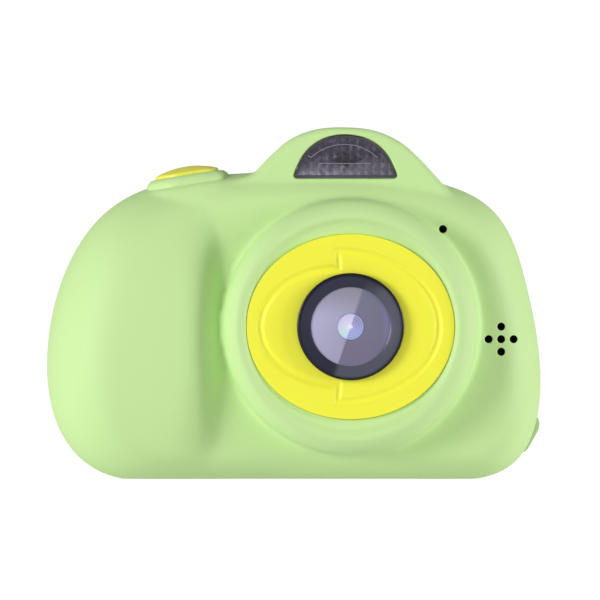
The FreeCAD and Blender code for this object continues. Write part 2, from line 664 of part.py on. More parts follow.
def screen_parts():
    x, z = SCREEN
    width, height = MODULE
    frame = slab(x, z, width + 1.8, height + 1.8, 1.0, BOARD_REAR + 0.05, MODULE_FACE)
    frame = frame.cut(box(x - width / 2 - 0.1, x + width / 2 + 0.1, 13.95, 20,
                          z - height / 2 - 0.1, z + height / 2 + 0.1))
    frame = frame.cut(box(x - 23, x + 23, 10, 20, z - 16, z + 16))
    return {
        "lcd_window": slab(x, z, SCREEN_WINDOW[0], SCREEN_WINDOW[1], 3.0, 18.12, PANEL_FACE),
        "lcd_panel": box(x - width / 2, x + width / 2, 14.0, MODULE_FACE, z - height / 2, z + height / 2),
        "lcd_frame": frame,
        "lcd_flex": box(x - 7, x + 7, 13.72, 13.98, z - 15.5, z - 6),
        "charge_light": rod_y(LIGHT, 1.0, 15.4, PANEL_FACE - 0.2).fuse(rod_y(LIGHT, 1.6, 15.4, 16.2)),
    }


def board_parts():
    board = outline_face(CAVITY + 0.5, BOARD_FRONT).extrude(V(0, BOARD_REAR - BOARD_FRONT, 0))
    centre = lug_frame()[0]
    for cut in posts(CASE_SCREWS, 3.3, 10, 15) + posts(BOARD_SCREWS, 1.15, 10, 15) + [
            rod_y((centre.x, centre.z), 7.8, 10, 15), box(44.6, 60, 10, 15, 0, 60)]:
        board = board.cut(cut)
    chips = [
        (16.6, 27.6, 13.5, 24.5, 1.2), (4.0, 12.0, 36.0, 42.0, 1.0), (26.0, 31.0, 40.0, 44.0, 1.0),
        (-6.0, -1.0, 12.0, 17.0, 1.4), (2.0, 5.2, 8.4, 10.9, 0.9), (-12.0, -9.0, 30.0, 34.0, 1.8),
        (6.0, 16.0, 26.6, 29.4, 1.0), (-10.0, -4.0, 46.0, 49.0, 1.5),
    ]
    made = [box(x0, x1, BOARD_FRONT - h, BOARD_FRONT - 0.02, z0, z1) for x0, x1, z0, z1, h in chips]
    usb = box(41.0, 47.0, 9.0, 11.98, USB[0] + 0.2, USB[1] - 0.2)
    usb = usb.cut(box(42.0, 48.0, 9.3, 11.68, USB[0] + 0.5, USB[1] - 0.5))
    usb = usb.fuse(box(41.5, 46.2, 10.2, 10.8, USB[0] + 1.6, USB[1] - 1.6))
    card = box(28.4, 43.8, 10.0, 11.98, CARD[0] - 1.2, CARD[1] + 0.85)
    card = card.cut(box(28.0, 48.0, 10.5, 11.6, CARD[0] - 0.4, CARD[1] + 0.4))
    card = card.fuse(box(27.6, 28.4, 10.0, 11.98, CARD[0] - 1.2, CARD[1] + 0.85))
    return {
        "main_board": board,
        "main_chips": Part.makeCompound(made),
        "usb_socket": usb,
        "card_socket": card,
        "memory_card": box(29.4, 44.4, 10.62, 11.42, (CARD[0] + CARD[1]) / 2 - 5.5 + 0.1,
                           (CARD[0] + CARD[1]) / 2 + 5.5 - 0.1),
    }


def loose_parts():
    """Battery, sound parts and fasteners."""
    x0, x1, y0, y1, z0, z1 = BATTERY
    cell = box(*BATTERY)
    cell = cell.makeFillet(1.6, [e for e in cell.Edges if e.BoundBox.ZLength > 30])
    gasket = slab(*SPEAKER, SPEAKER_SIZE[0] + 0.6, SPEAKER_SIZE[1] + 0.4, 1.5, -6.45, -5.7)
    gasket = gasket.cut(slab(*SPEAKER, SPEAKER_SIZE[0] - 1.4, SPEAKER_SIZE[1] - 1.6, 1.0, -7, -5))
    leads = [wire([(-30 + i, y1 - 1.5, z1 + 0.2), (-30 + i, y1 - 1.0, 50.4), (-28 + i, 7.0, 52.2),
                   (-24 + i, 10.9, 50.6), (-22.6 + i, 11.2, 46.4)], 0.55) for i in (0.0, 1.8)]
    return {
        "battery": cell,
        "battery_tape": box(x0 + 2, x1 - 2, y0 - 0.98, y0 - 0.02, z0 + 4, z1 - 4),
        "battery_leads": Part.makeCompound(leads),
        "speaker": slab(*SPEAKER, *SPEAKER_SIZE, 1.5, -5.68, -2.2),
        "speaker_gasket": gasket,
        "microphone": rod_y(MIC, 1.45, -8.0, -6.7),
        "microphone_boot": tube_y(MIC, 2.0, 1.5, -8.55, -6.3),
        "case_screws": Part.makeCompound([screw(p, 9.02, 11.8, 1.9, 1.3, 1.0, -1) for p in CASE_SCREWS]),
        "board_screws": Part.makeCompound(
            [screw(p, BOARD_FRONT - 0.02, 4.6, 1.7, 0.9, 0.8, 1) for p in BOARD_SCREWS]),
    }


def strap_lug():
    centre = lug_frame()[0]
    block = lug_block(LUG_HOLE_R + LUG_WALL, *LUG_Y)
    return block.cut(rod_y((centre.x, centre.z), LUG_HOLE_R, LUG_Y[0] - 1, LUG_Y[1] + 1))


def main():
    os.makedirs("parts", exist_ok=True)
    sole = box(-80, 80, -60, 60, 0, 120)
    form = pebble(0).common(sole)
    sleeve, cover = sleeve_and_cover(form, pebble(SKIN))
    front, rear = case_halves(pebble(CASE + 0.4).fuse(hump(CASE + 0.4, 0, 1.7)))
    parts = {
        "silicone_sleeve": sleeve, "port_cover": cover, "front_case": front, "rear_case": rear,
        "face_plate": face_plate(), "strap_lug": strap_lug(), "key_switches": key_switches(),
    }
    for group in (lens_parts, flash_parts, shutter_parts, screen_parts, rear_keys, board_parts, loose_parts):
        parts.update(group())
    for name, shape in parts.items():
        shape.exportStep("parts/" + name + ".step")


if __name__ == "__main__":
    main()
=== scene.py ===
"""Looks for a child's digital camera: the soft sleeve, lens, flash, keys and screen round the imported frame."""

import bmesh
import bpy
import json
import math
from bpy.props import FloatProperty, FloatVectorProperty, IntProperty, PointerProperty
from bpy.types import Operator, Panel, PropertyGroup
from mathutils import Matrix, Vector
from mathutils.geometry import interpolate_bezier

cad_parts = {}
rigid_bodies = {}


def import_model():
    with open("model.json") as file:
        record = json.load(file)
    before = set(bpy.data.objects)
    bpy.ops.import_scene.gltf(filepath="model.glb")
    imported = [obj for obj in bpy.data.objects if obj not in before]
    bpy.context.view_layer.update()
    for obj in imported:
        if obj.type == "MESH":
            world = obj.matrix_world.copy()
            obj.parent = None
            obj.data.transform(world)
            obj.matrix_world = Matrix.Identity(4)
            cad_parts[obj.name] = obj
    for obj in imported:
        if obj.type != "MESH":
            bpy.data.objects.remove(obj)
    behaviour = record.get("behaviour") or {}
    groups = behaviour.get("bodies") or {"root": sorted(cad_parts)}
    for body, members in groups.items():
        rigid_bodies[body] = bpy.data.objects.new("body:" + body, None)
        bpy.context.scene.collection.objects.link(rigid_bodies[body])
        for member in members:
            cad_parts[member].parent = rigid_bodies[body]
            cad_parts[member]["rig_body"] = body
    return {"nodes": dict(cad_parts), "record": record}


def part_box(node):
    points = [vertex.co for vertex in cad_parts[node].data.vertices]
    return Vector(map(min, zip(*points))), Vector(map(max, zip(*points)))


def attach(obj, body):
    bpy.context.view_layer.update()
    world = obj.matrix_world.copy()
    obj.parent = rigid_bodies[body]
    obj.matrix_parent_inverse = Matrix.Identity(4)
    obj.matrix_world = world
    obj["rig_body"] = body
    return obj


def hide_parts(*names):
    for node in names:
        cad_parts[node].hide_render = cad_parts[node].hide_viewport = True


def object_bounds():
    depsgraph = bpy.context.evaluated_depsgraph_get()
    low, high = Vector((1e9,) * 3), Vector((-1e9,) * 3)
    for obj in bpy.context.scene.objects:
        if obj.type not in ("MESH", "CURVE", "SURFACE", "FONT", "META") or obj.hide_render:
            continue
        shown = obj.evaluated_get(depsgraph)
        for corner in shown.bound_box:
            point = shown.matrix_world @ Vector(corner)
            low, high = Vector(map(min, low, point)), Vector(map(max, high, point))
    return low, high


bl_info = {
    "name": "Toy Camera Looks",
    "version": (1, 0, 0),
    "blender": (4, 5, 0),
    "location": "3D View > Sidebar > Toy Camera",
    "description": "Builds the visible pieces and finishes of a child's digital camera on its packed frame",
    "category": "Object",
}

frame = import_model()
CAD_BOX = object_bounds()
NODES = frame["nodes"]

# ---------------------------------------------------------------- sizes, in metres
MM = 0.001
FULL = 2 * math.pi
FORWARD = Vector((0, -1, 0))

LENS_LOW, LENS_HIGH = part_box("lens_bezel")
LENS = Vector(((LENS_LOW.x + LENS_HIGH.x) / 2, 0, (LENS_LOW.z + LENS_HIGH.z) / 2))
BEZEL_FRONT = LENS_LOW.y
BEZEL_R = (LENS_HIGH.x - LENS_LOW.x) / 2
PLATE_LOW, PLATE_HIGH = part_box("face_plate")
PLATE_FRONT = PLATE_LOW.y
PLATE_BACK = PLATE_HIGH.y
PLATE_A = (PLATE_HIGH.x - PLATE_LOW.x) / 2
PLATE_B = (PLATE_HIGH.z - PLATE_LOW.z) / 2

# The body's outline seen from the front, clockwise from the left, as control points in millimetres.
OUTLINE = (
    (-49.3, 35.7), (-39.3, 54.9), (-22.5, 60.8), (0.3, 61.4), (15.2, 61.9), (41.2, 57.6), (46.6, 39.7),
    (50.9, 18.7), (45.9, -1.5), (21.5, -0.1), (4.3, -0.4), (-17.3, 0.0), (-38.9, -1.8), (-50.2, 11.8),
)
FACE_DEPTH = 12.5
CREST = (-30.0, 19.8)        # the hand grip's most forward line: where it runs, and how far forward
GRIP_FLANK = 16.0
GRIP_FALL = 8.0
GRIP_MIDDLE = 29.0
GRIP_HALF = 31.0
FLANK_DROP = 10.0
EDGE_ROUND = 7.5
GRIP_ROUND = 9.5
FRONT_RIM = -1.0
REAR_RIM = 13.0
REAR = 20.0
REAR_ROUND = 6.0
SKIN = 1.8
PANEL_INSET = 8.0

HUMP_OUTLINE = (
    (-12.3, 59.7), (-8.2, 60.9), (-5.1, 64.0), (-0.7, 67.75), (4.5, 69.75), (10.3, 70.15), (16.1, 69.5),
    (21.3, 67.2), (25.3, 63.7), (28.9, 59.8), (32.7, 55.5),
)
HUMP_FRONT = 9.2
HUMP_REAR = 12.0
FLASH_FRONT = -9.15
RING = ((28.3, 4.0), (25.6, 12.5), (24.9, 17.6), (22.1, 20.2), (20.8, 19.2), (19.3, 18.8), (17.5, 18.5))

SHUTTER_AT = Vector((-21.1, -2.0, 59.2)) * MM
SHUTTER_TILT = math.radians(9.0)
MIC = (29.7, 49.8)
SPEAKER_HOLES = (41.3, 27.9)
HOLE_R = 0.8
HOLE_PITCH = 2.5


# ---------------------------------------------------------------- mesh helpers
def piece(name, body, bm, stands_for=(), finish=None, sharp=40.0):
    """Turns a bmesh in metres into a named piece on a body, shaded smooth except at sharp edges."""
    mesh = bpy.data.meshes.new(name)
    bm.to_mesh(mesh)
    bm.free()
    return finished(name, body, mesh, stands_for, finish, sharp)


def finished(name, body, mesh, stands_for=(), finish=None, sharp=40.0):
    if name in stands_for:
        NODES[name].name = name + "_solid"
    obj = bpy.data.objects.new(name, mesh)
    bpy.context.scene.collection.objects.link(obj)
    mesh.shade_smooth()
    mesh.set_sharp_from_angle(angle=math.radians(sharp))
    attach(obj, body)
    if stands_for:
        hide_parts(*stands_for)
    if finish:
        mesh.materials.clear()
        mesh.materials.append(finish)
    return obj


def baked(bm, *modifiers):
    """The bmesh after modifiers, each given as its type and its settings, as a new mesh."""
    mesh = bpy.data.meshes.new("work")
    bm.to_mesh(mesh)
    bm.free()
    return baked_mesh(mesh, *modifiers)


def baked_mesh(mesh, *modifiers):
    obj = bpy.data.objects.new("work", mesh)
    bpy.context.scene.collection.objects.link(obj)
    for kind, settings in modifiers:
        modifier = obj.modifiers.new(kind.lower(), kind)
        for key, value in settings.items():
            setattr(modifier, key, value)
    depsgraph = bpy.context.evaluated_depsgraph_get()
    made = bpy.data.meshes.new_from_object(obj.evaluated_get(depsgraph))
    bpy.data.objects.remove(obj)
    bpy.data.meshes.remove(mesh)
    return made


def helper_object(bm):
    mesh = bpy.data.meshes.new("helper")
    bm.to_mesh(mesh)
    bm.free()
    obj = bpy.data.objects.new("helper", mesh)
    bpy.context.scene.collection.objects.link(obj)
    return obj


def carved(mesh, cutters):
    """The mesh with every cutter taken out of it. The cutters are closed bmeshes and are used up."""
    helpers = [helper_object(c) for c in cutters]
    steps = [("BOOLEAN", {"operation": "DIFFERENCE", "solver": "MANIFOLD", "object": h}) for h in helpers]
    made = baked_mesh(mesh, *steps)
    for helper in helpers:
        data = helper.data
        bpy.data.objects.remove(helper)
        bpy.data.meshes.remove(data)
    return made


def turned(profile, steps=128, centre=LENS, axis=FORWARD, out=Vector((1, 0, 0))):
    """Solid of revolution from (radius, height) points in millimetres, closed on itself or on the axis."""
    bm = bmesh.new()
    verts = [bm.verts.new(centre + (out * r + axis * h) * MM) for r, h in profile]
    edges = [bm.edges.new((a, b)) for a, b in zip(verts, verts[1:])]
    if profile[0][0] > 0 or profile[-1][0] > 0:
        edges.append(bm.edges.new((verts[-1], verts[0])))
    bmesh.ops.spin(bm, geom=verts + edges, cent=centre, axis=axis, angle=FULL, steps=steps, use_merge=True)
    bmesh.ops.remove_doubles(bm, verts=bm.verts, dist=1e-7)
    bmesh.ops.recalc_face_normals(bm, faces=bm.faces)
    return bm


def smooth_line(points, per_span=8, closed=False):
    """Points on a smooth curve through the given ones."""
    pts = [Vector(p) for p in points]
    count = len(pts)
    spans = count if closed else count - 1
    line = []
    for i in range(spans):
        a, b = pts[i], pts[(i + 1) % count]
        before = pts[i - 1] if closed or i else a
        after = pts[(i + 2) % count] if closed or i + 2 < count else b
        ends = (a + (b - before) / 6, b - (after - a) / 6)
        run = interpolate_bezier(a.to_3d(), ends[0].to_3d(), ends[1].to_3d(), b.to_3d(), per_span + 1)
        line += run[:-1]
    if not closed:
        line.append(pts[-1].to_3d())
    return line


def prism(outline, y0, y1):
    """Closed prism along Y from (x, z) points in millimetres."""
    bm = bmesh.new()
    face = bm.faces.new([bm.verts.new((x * MM, y0 * MM, z * MM)) for x, z in outline])
    made = bmesh.ops.extrude_face_region(bm, geom=[face])
    moved = [v for v in made["geom"] if isinstance(v, bmesh.types.BMVert)]
    bmesh.ops.translate(bm, verts=moved, vec=(0, (y1 - y0) * MM, 0))
    bmesh.ops.recalc_face_normals(bm, faces=bm.faces)
    return bm


def grown(outline, by):
    """An (x, z) outline moved outwards by a distance. It may run either way round."""
    count = len(outline)
    area = sum(outline[i - 1][0] * outline[i][1] - outline[i][0] * outline[i - 1][1] for i in range(count))
    side = 1 if area > 0 else -1
    moved = []
    for i, (x, z) in enumerate(outline):
        a, b = outline[i - 1], outline[(i + 1) % count]
        tx, tz = b[0] - a[0], b[1] - a[1]
        length = math.hypot(tx, tz) or 1
        moved.append((x + side * by * tz / length, z - side * by * tx / length))
    return moved


def mouth(outline, y_face, y_end, flare, steps=5, facing=-1):
    """A cutter along Y whose mouth rounds over by flare where it meets a surface at y_face."""
    rows = [(flare * 1.0, y_face + facing * 2.0), (flare, y_face)]
    for i in range(1, steps + 1):
        turn = math.pi / 2 * i / steps
        rows.append((flare * (1 - math.sin(turn)), y_face - facing * flare * (1 - math.cos(turn))))
    rows.append((0, y_end))
    bm = bmesh.new()
    loops = []
    for by, y in rows:
        points = grown(outline, by) if by else outline
        loops.append([bm.verts.new((x * MM, y * MM, z * MM)) for x, z in points])
    count = len(outline)
    rims = []
    for loop in loops:
        rims.append([bm.edges.new((loop[i], loop[(i + 1) % count])) for i in range(count)])
    for a, b in zip(rims, rims[1:]):
        bmesh.ops.bridge_loops(bm, edges=a + b)
    bm.faces.new(loops[0])
    bm.faces.new(loops[-1])
    bmesh.ops.recalc_face_normals(bm, faces=bm.faces)
    return bm


def circle_points(x, z, r, count=32, rz=None):
    return [(x + r * math.cos(FULL * i / count), z + (rz or r) * math.sin(FULL * i / count)) for i in range(count)]


# ---------------------------------------------------------------- the body's form
def smooth_max(a, b, blend):
    h = max(blend - abs(a - b), 0) / blend
    return max(a, b) + h * h * blend / 4


def face_depth(x, z):
    """How far the front of the body stands forward at (x, z), in millimetres."""
    away = max(0, math.hypot(x - LENS.x / MM, z - LENS.z / MM) - 24)
    body = FACE_DEPTH - 0.002 * away ** 2
    crest = CREST[1] - GRIP_FALL * abs((z - GRIP_MIDDLE) / GRIP_HALF) ** 2.5
    across = max(0, (x - CREST[0]) / GRIP_FLANK)
    if across < 1:
        grip = crest - FLANK_DROP * (1 - math.sqrt(1 - across ** 2))
    else:
        grip = crest - FLANK_DROP - 2 * FLANK_DROP * (across - 1)
    return smooth_max(body, grip, 2.0)


def outline_point(turn, inset=0.0):
    """A point on the outline at a share of its way round, moved inwards by inset."""
    count = len(OUTLINE)
    at = (turn % 1) * count
    i, t = int(at), at % 1
    a, b, c, d = (Vector(OUTLINE[(i + k) % count]) for k in range(4))
    point = (a * (1 - t) ** 3 + b * (3 * t ** 3 - 6 * t * t + 4) + c * (1 + 3 * t + 3 * t * t - 3 * t ** 3)
             + d * t ** 3) / 6
    along = -a * (1 - t) ** 2 + b * (3 * t * t - 4 * t) + c * (1 + 2 * t - 3 * t * t) + d * t * t
    along.normalize()
    return point.x + along.y * inset, point.y - along.x * inset


def form_column(x, z, inset, fine):
    """Points of the body's form from its front centre, over the edge at (x, z), to its rear centre."""
    cx, cz = LENS.x / MM, LENS.z / MM
    reach = math.hypot(x - cx, z - cz)
    dx, dz = (x - cx) / reach, (z - cz) / reach
    width = EDGE_ROUND + GRIP_ROUND * max(0, -dx) ** 6 - inset
    rear_width, rear_depth = REAR_ROUND - inset, REAR - REAR_RIM - inset
    column = []

    def add(r, y):
        column.append(Vector((cx + r * dx, y, cz + r * dz)) * MM)

    rings, steps = 16 * fine, 7 * fine
    for j in range(rings + 1):
        r = (reach - width) * j / rings
        add(r, inset - face_depth(cx + r * dx, cz + r * dz))
    for j in range(1, steps + 1):
        turn = math.pi / 2 * j / steps
        r = reach - width + width * math.sin(turn)
        rise = face_depth(cx + r * dx, cz + r * dz) - inset + FRONT_RIM
        add(r, FRONT_RIM - rise * math.cos(turn))
    for j in range(1, 4 * fine):
        add(reach, FRONT_RIM + (REAR_RIM - FRONT_RIM) * j / (4 * fine))
    for j in range(4 * fine + 1):
        turn = math.pi / 2 * j / (4 * fine)
        add(reach - rear_width * (1 - math.cos(turn)), REAR_RIM + rear_depth * math.sin(turn))
    for j in range(1, 3 * fine + 1):
        add((reach - rear_width) * (1 - j / (3 * fine)), REAR - inset)
    return column


def pebble(inset, around=224, fine=3):
    """The smooth body, moved inwards by inset: a sphere whose every meridian is laid along the form."""
    first = form_column(*outline_point(0, inset), inset, fine)
    bm = bmesh.new()
    bmesh.ops.create_uvsphere(bm, u_segments=around, v_segments=len(first) - 1, radius=1)
    columns = [form_column(*outline_point(i / around, inset), inset, fine) for i in range(around)]
    last = len(first) - 1
    for v in bm.verts:
        height = math.acos(max(-1, min(1, v.co.z))) / math.pi
        j = round(height * last)
        i = round(math.atan2(v.co.y, v.co.x) / FULL * around) % around
        v.co = columns[i][j]
    bmesh.ops.recalc_face_normals(bm, faces=bm.faces)
    return bm


def hump(inset=0.0):
    """The flash housing: its outline run back from its front face, with rounded edges."""
    points = [(p.x, p.y) for p in smooth_line(HUMP_OUTLINE, 6)]
    foot = 48.0
    outline = points + [(points[-1][0], foot), (points[0][0], foot)]
    if inset:
        outline = grown(outline, -inset)
    bm = prism(outline, inset - HUMP_FRONT, HUMP_REAR - inset)
    for y, radius, segments in ((inset - HUMP_FRONT, 1.3, 5), (HUMP_REAR - inset, 4.0, 8)):
        if radius > inset:
            rim = [
                e for e in bm.edges
                if all(abs(v.co.y / MM - y) < 0.01 and v.co.z / MM > foot + 6 for v in e.verts)
            ]
            bmesh.ops.bevel(bm, geom=rim, offset=(radius - inset) * MM, offset_type="OFFSET", affect="EDGES",
                            segments=segments, profile=0.5, material=-1, clamp_overlap=True)
    bmesh.ops.recalc_face_normals(bm, faces=bm.faces)
    return bm


def merged(parts):
    """Several bmeshes as one."""
    whole = bmesh.new()
    for part in parts:
        mesh = bpy.data.meshes.new("part")
        part.to_mesh(mesh)
        part.free()
        whole.from_mesh(mesh)
        bpy.data.meshes.remove(mesh)
    return whole


def in_shutter_frame(bm):
    bmesh.ops.rotate(bm, verts=bm.verts, cent=(0, 0, 0), matrix=Matrix.Rotation(-SHUTTER_TILT, 3, "Y"))
    bmesh.ops.translate(bm, verts=bm.verts, vec=SHUTTER_AT)
    return bm


def shutter_turned(profile, steps=96):
    return in_shutter_frame(turned(profile, steps, Vector(), Vector((0, 0, 1))))


# ---------------------------------------------------------------- shader helpers
class Socket:
    """A shader socket that takes part in Python expressions, each operation adding its Math node."""

    def __init__(self, material, out):
        self.material = material
        self.out = out

    def _math(self, operation, a, b=0.0):
        return self.material.node("ShaderNodeMath", {"operation": operation}, (a, b))

    def __add__(self, other):
        return self._math("ADD", self, other)

    def __sub__(self, other):
        return self._math("SUBTRACT", self, other)

    def __mul__(self, other):
        return self._math("MULTIPLY", self, other)

    def __truediv__(self, other):
        return self._math("DIVIDE", self, other)

    def __pow__(self, other):
        return self._math("POWER", self, other)

    def __gt__(self, other):
        return self._math("GREATER_THAN", self, other)

    def __lt__(self, other):
        return self._math("LESS_THAN", self, other)

    def __abs__(self):
        return self._math("ABSOLUTE", self)

    def __neg__(self):
        return self._math("MULTIPLY", self, -1.0)

    def __radd__(self, other):
        return self._math("ADD", other, self)

    def __rsub__(self, other):
        return self._math("SUBTRACT", other, self)

    def __rmul__(self, other):
        return self._math("MULTIPLY", other, self)

    def __rtruediv__(self, other):
        return self._math("DIVIDE", other, self)


def rgba(colour):
    return (*colour[:3], 1.0)


class Finish:
    """One procedural material. Its socket values and links are set through node() and shade()."""

    def __init__(self, name):
        self.material = bpy.data.materials.new(name)
        self.material.use_nodes = True
        self.tree = self.material.node_tree
        self.shader = self.tree.nodes["Principled BSDF"]
        self._place = None

    @classmethod
    def over(cls, material):
        """Goes on with a material that is already made."""
        f = cls.__new__(cls)
        f.material, f.tree, f._place = material, material.node_tree, None
        f.shader = f.tree.nodes["Principled BSDF"]
        return f

    def node(self, kind, settings=None, inputs=(), output=0):
        """Adds a node: its settings first, then its sockets by number or name, and wraps one output."""
        made = self.tree.nodes.new(kind)
        for key, value in (settings or {}).items():
            if key == "stops":
                ramp = made.color_ramp
                for at, colour in value[1:-1]:
                    ramp.elements.new(at)
                for element, (at, colour) in zip(ramp.elements, value):
                    element.position = at
                    element.color = rgba(colour)
            else:
                setattr(made, key, value)
        pairs = inputs.items() if isinstance(inputs, dict) else enumerate(inputs)
        for key, value in pairs:
            self.feed(made.inputs[key], value)
        return Socket(self, made.outputs[output])

    def feed(self, socket, value):
        if isinstance(value, Socket):
            self.tree.links.new(value.out, socket)
        else:
            socket.default_value = value

    def place(self):
        if self._place is None:
            self._place = self.node("ShaderNodeTexCoord", output="Object")
        return self._place

    def axes(self, scale=1000.0):
        """Object x, y and z, in millimetres by default."""
        split = self.node("ShaderNodeSeparateXYZ", inputs=(self.place(),))
        made = [Socket(self, split.out.node.outputs[i]) for i in range(3)]
        return [axis * scale for axis in made]

    def noise(self, size_mm, detail=2.0, rough=0.5):
        """Noise from 0 to 1 whose blobs are about size_mm across."""
        return self.node("ShaderNodeTexNoise", inputs={
            "Vector": self.place(), "Scale": 1 / (size_mm * MM), "Detail": detail, "Roughness": rough})

    def cells(self, size_mm, feature="F1"):
        return self.node("ShaderNodeTexVoronoi", {"feature": feature}, {
            "Vector": self.place(), "Scale": 1 / (size_mm * MM)})

    def between(self, value, low, high, out_low=0.0, out_high=1.0, smooth=True):
        """Maps value from low..high to out_low..out_high, held at both ends."""
        kind = "SMOOTHSTEP" if smooth else "LINEAR"
        return self.node("ShaderNodeMapRange", {"interpolation_type": kind, "clamp": True} if not smooth else
                         {"interpolation_type": kind}, (value, low, high, out_low, out_high))

    def blend(self, share, a, b, how="MIX"):
        """Mixes two colours. Each is a colour or a socket."""
        made = self.tree.nodes.new("ShaderNodeMix")
        made.data_type = "RGBA"
        made.blend_type = how
        self.feed(made.inputs[0], share)
        self.feed(made.inputs[6], rgba(a) if not isinstance(a, Socket) else a)
        self.feed(made.inputs[7], rgba(b) if not isinstance(b, Socket) else b)
        return Socket(self, made.outputs[2])

    def relief(self, height, depth_mm, strength=1.0, base=None):
        """A Bump whose height runs from 0 to 1 over depth_mm."""
        inputs = {"Height": height, "Distance": depth_mm * MM, "Strength": strength}
        if base is not None:
            inputs["Normal"] = base
        return self.node("ShaderNodeBump", inputs=inputs)

    def shade(self, **values):
        """Sets the shader's sockets. An underscore in a key is a space in the socket's name."""
        for key, value in values.items():
            socket = self.shader.inputs[key.replace("_", " ")]
            if not isinstance(value, Socket) and socket.type == "RGBA":
                value = rgba(value)
            self.feed(socket, value)
        return self.material


# ---------------------------------------------------------------- what a user would change
def colour_prop(name, description, default):
    return FloatVectorProperty(name=name, description=description, default=default, subtype="COLOR", size=3,
                               min=0, max=1)


class SleeveSettings(PropertyGroup):
    colour: colour_prop("Sleeve colour", "Soft green of the silicone", (0.62, 0.875, 0.375))
    cell: FloatProperty(name="Mesh cell", description="Size of the sleeve's mesh cells", default=0.6 * MM,
                        unit="LENGTH")
    soften: IntProperty(name="Soften", description="Smoothing steps on the inner corners", default=6, min=0)
    lip: FloatProperty(name="Lip", description="Rounding of the openings' edges in millimetres", default=0.35)


class PlateSettings(PropertyGroup):
    colour: colour_prop("Plate colour", "Clear bright yellow of the face plate", (1.0, 0.985, 0.05))
    groove: FloatProperty(name="Groove", description="Half width of the soft groove in millimetres", default=1.0)
    depth: FloatProperty(name="Groove depth", description="Depth of the groove in millimetres", default=0.42)


class LensSettings(PropertyGroup):
    # The two tones of the cover glass's painted reflection: lavender where a light is reflected, slate on the other
    # side.
    veil: colour_prop("Bright coating", "Lavender tone of the glass on its lit side", (0.46, 0.445, 0.64))
    shade: colour_prop("Dark coating", "Slate tone of the glass on its other side", (0.21, 0.212, 0.31))
    # The ring's two tones: blue-black, and slate as a painted reflection on its right.
    navy: colour_prop("Ring, dark side", "Blue-black of the ring round the glass", (0.022, 0.023, 0.048))
    slate: colour_prop("Ring, light side", "Dark grey of the ring round the glass", (0.088, 0.09, 0.128))


class FlashSettings(PropertyGroup):
    tint: colour_prop("Window tint", "Violet grey of the smoked window", (0.12, 0.10, 0.15))
    facet: FloatProperty(name="Facet", description="Width of one reflector facet", default=1.62 * MM, unit="LENGTH")


class KeySettings(PropertyGroup):
    colour: colour_prop("Shutter colour", "Yellow of the release button", (0.98, 0.96, 0.10))
    white: colour_prop("Key colour", "White of the rear keys", (0.86, 0.86, 0.84))


class StageSettings(PropertyGroup):
    distance: FloatProperty(name="Camera distance", description="From the lens to the camera", default=2.4,
                            unit="LENGTH")
    key: FloatProperty(name="Key light", description="Power of the large light at the left", default=23.0,
                       unit="POWER")
    fill: FloatProperty(name="Fill light", description="Power of the light at the right", default=16.0,
                        unit="POWER")
    floor_seen: FloatProperty(name="Floor brightness", description="How bright the floor looks", default=0.95)
    floor_glow: FloatProperty(name="Floor glow", description="Light that the floor sends up", default=0.5)
    room: FloatProperty(name="Room light", description="Strength of the white room", default=0.29)


SETTINGS = {
    "toy_sleeve": SleeveSettings, "toy_plate": PlateSettings, "toy_lens": LensSettings,
    "toy_flash": FlashSettings, "toy_keys": KeySettings, "toy_stage": StageSettings,
}


# ---------------------------------------------------------------- finishes
def scaled(colour, by):
    return tuple(min(1, c * by) for c in colour[:3])


def silicone(name, colour):
    """Soft satin rubber: a fine matt grain, slight mottling, and a faint sheen where hands rub it."""
    f = Finish(name)
    grain = f.noise(0.16, 3.0, 0.6)
    mottle = f.noise(14.0, 2.0)
    rubbed = f.between(f.noise(30.0, 1.0), 0.45, 0.7)
    tone = f.blend(mottle, scaled(colour, 0.985), scaled(colour, 1.015))
    return f.shade(Base_Color=tone, Roughness=0.52 + grain * 0.08 - rubbed * 0.07, Specular_IOR_Level=0.32,
                   Normal=f.relief(grain, 0.012, 0.35))


def moulded(name, colour, rough=0.35, grain_mm=0.22, depth_mm=0.006, coat=0.0, dusk=0.93):
    """Moulded plastic: a spark-eroded grain, faint flow marks and slightly uneven gloss."""
    f = Finish(name)
    grain = f.noise(grain_mm, 2.0)
    flow = f.node("ShaderNodeTexWave", {"wave_type": "BANDS", "bands_direction": "DIAGONAL"}, {
        "Vector": f.place(), "Scale": 28.0, "Distortion": 6.0, "Detail": 2.0})
    gloss = f.noise(6.0, 2.0)
    tone = f.blend(flow * 0.35, scaled(colour, 1.0), scaled(colour, dusk))
    return f.shade(Base_Color=tone, Roughness=gloss * 0.08 + grain * 0.05 + (rough - 0.06), Coat_Weight=coat,
                   Coat_Roughness=0.12, Normal=f.relief(grain, depth_mm, 0.4))


def glass_like(name, colour, alpha, rough=0.05):
    """Clear or tinted acrylic with hairline scuffs."""
    f = Finish(name)
    scuff = f.between(f.noise(0.7, 4.0, 0.7), 0.62, 0.8)
    haze = f.noise(9.0, 2.0)
    tone = f.blend(haze, scaled(colour, 0.94), scaled(colour, 1.06))
    return f.shade(Base_Color=tone, Roughness=rough + scuff * 0.06, Alpha=alpha + haze * 0.02, Coat_Weight=1.0,
                   Coat_Roughness=0.03)


def metal(name, colour, rough=0.3, brushed=0.0):
    f = Finish(name)
    fine = f.noise(0.12, 2.0)
    stain = f.noise(3.0, 3.0)
    tone = f.blend(stain, scaled(colour, 0.86), colour)
    return f.shade(Base_Color=tone, Metallic=1.0, Roughness=rough - 0.06 + stain * 0.12,
                   Normal=f.relief(fine, 0.004, 0.3 + brushed))


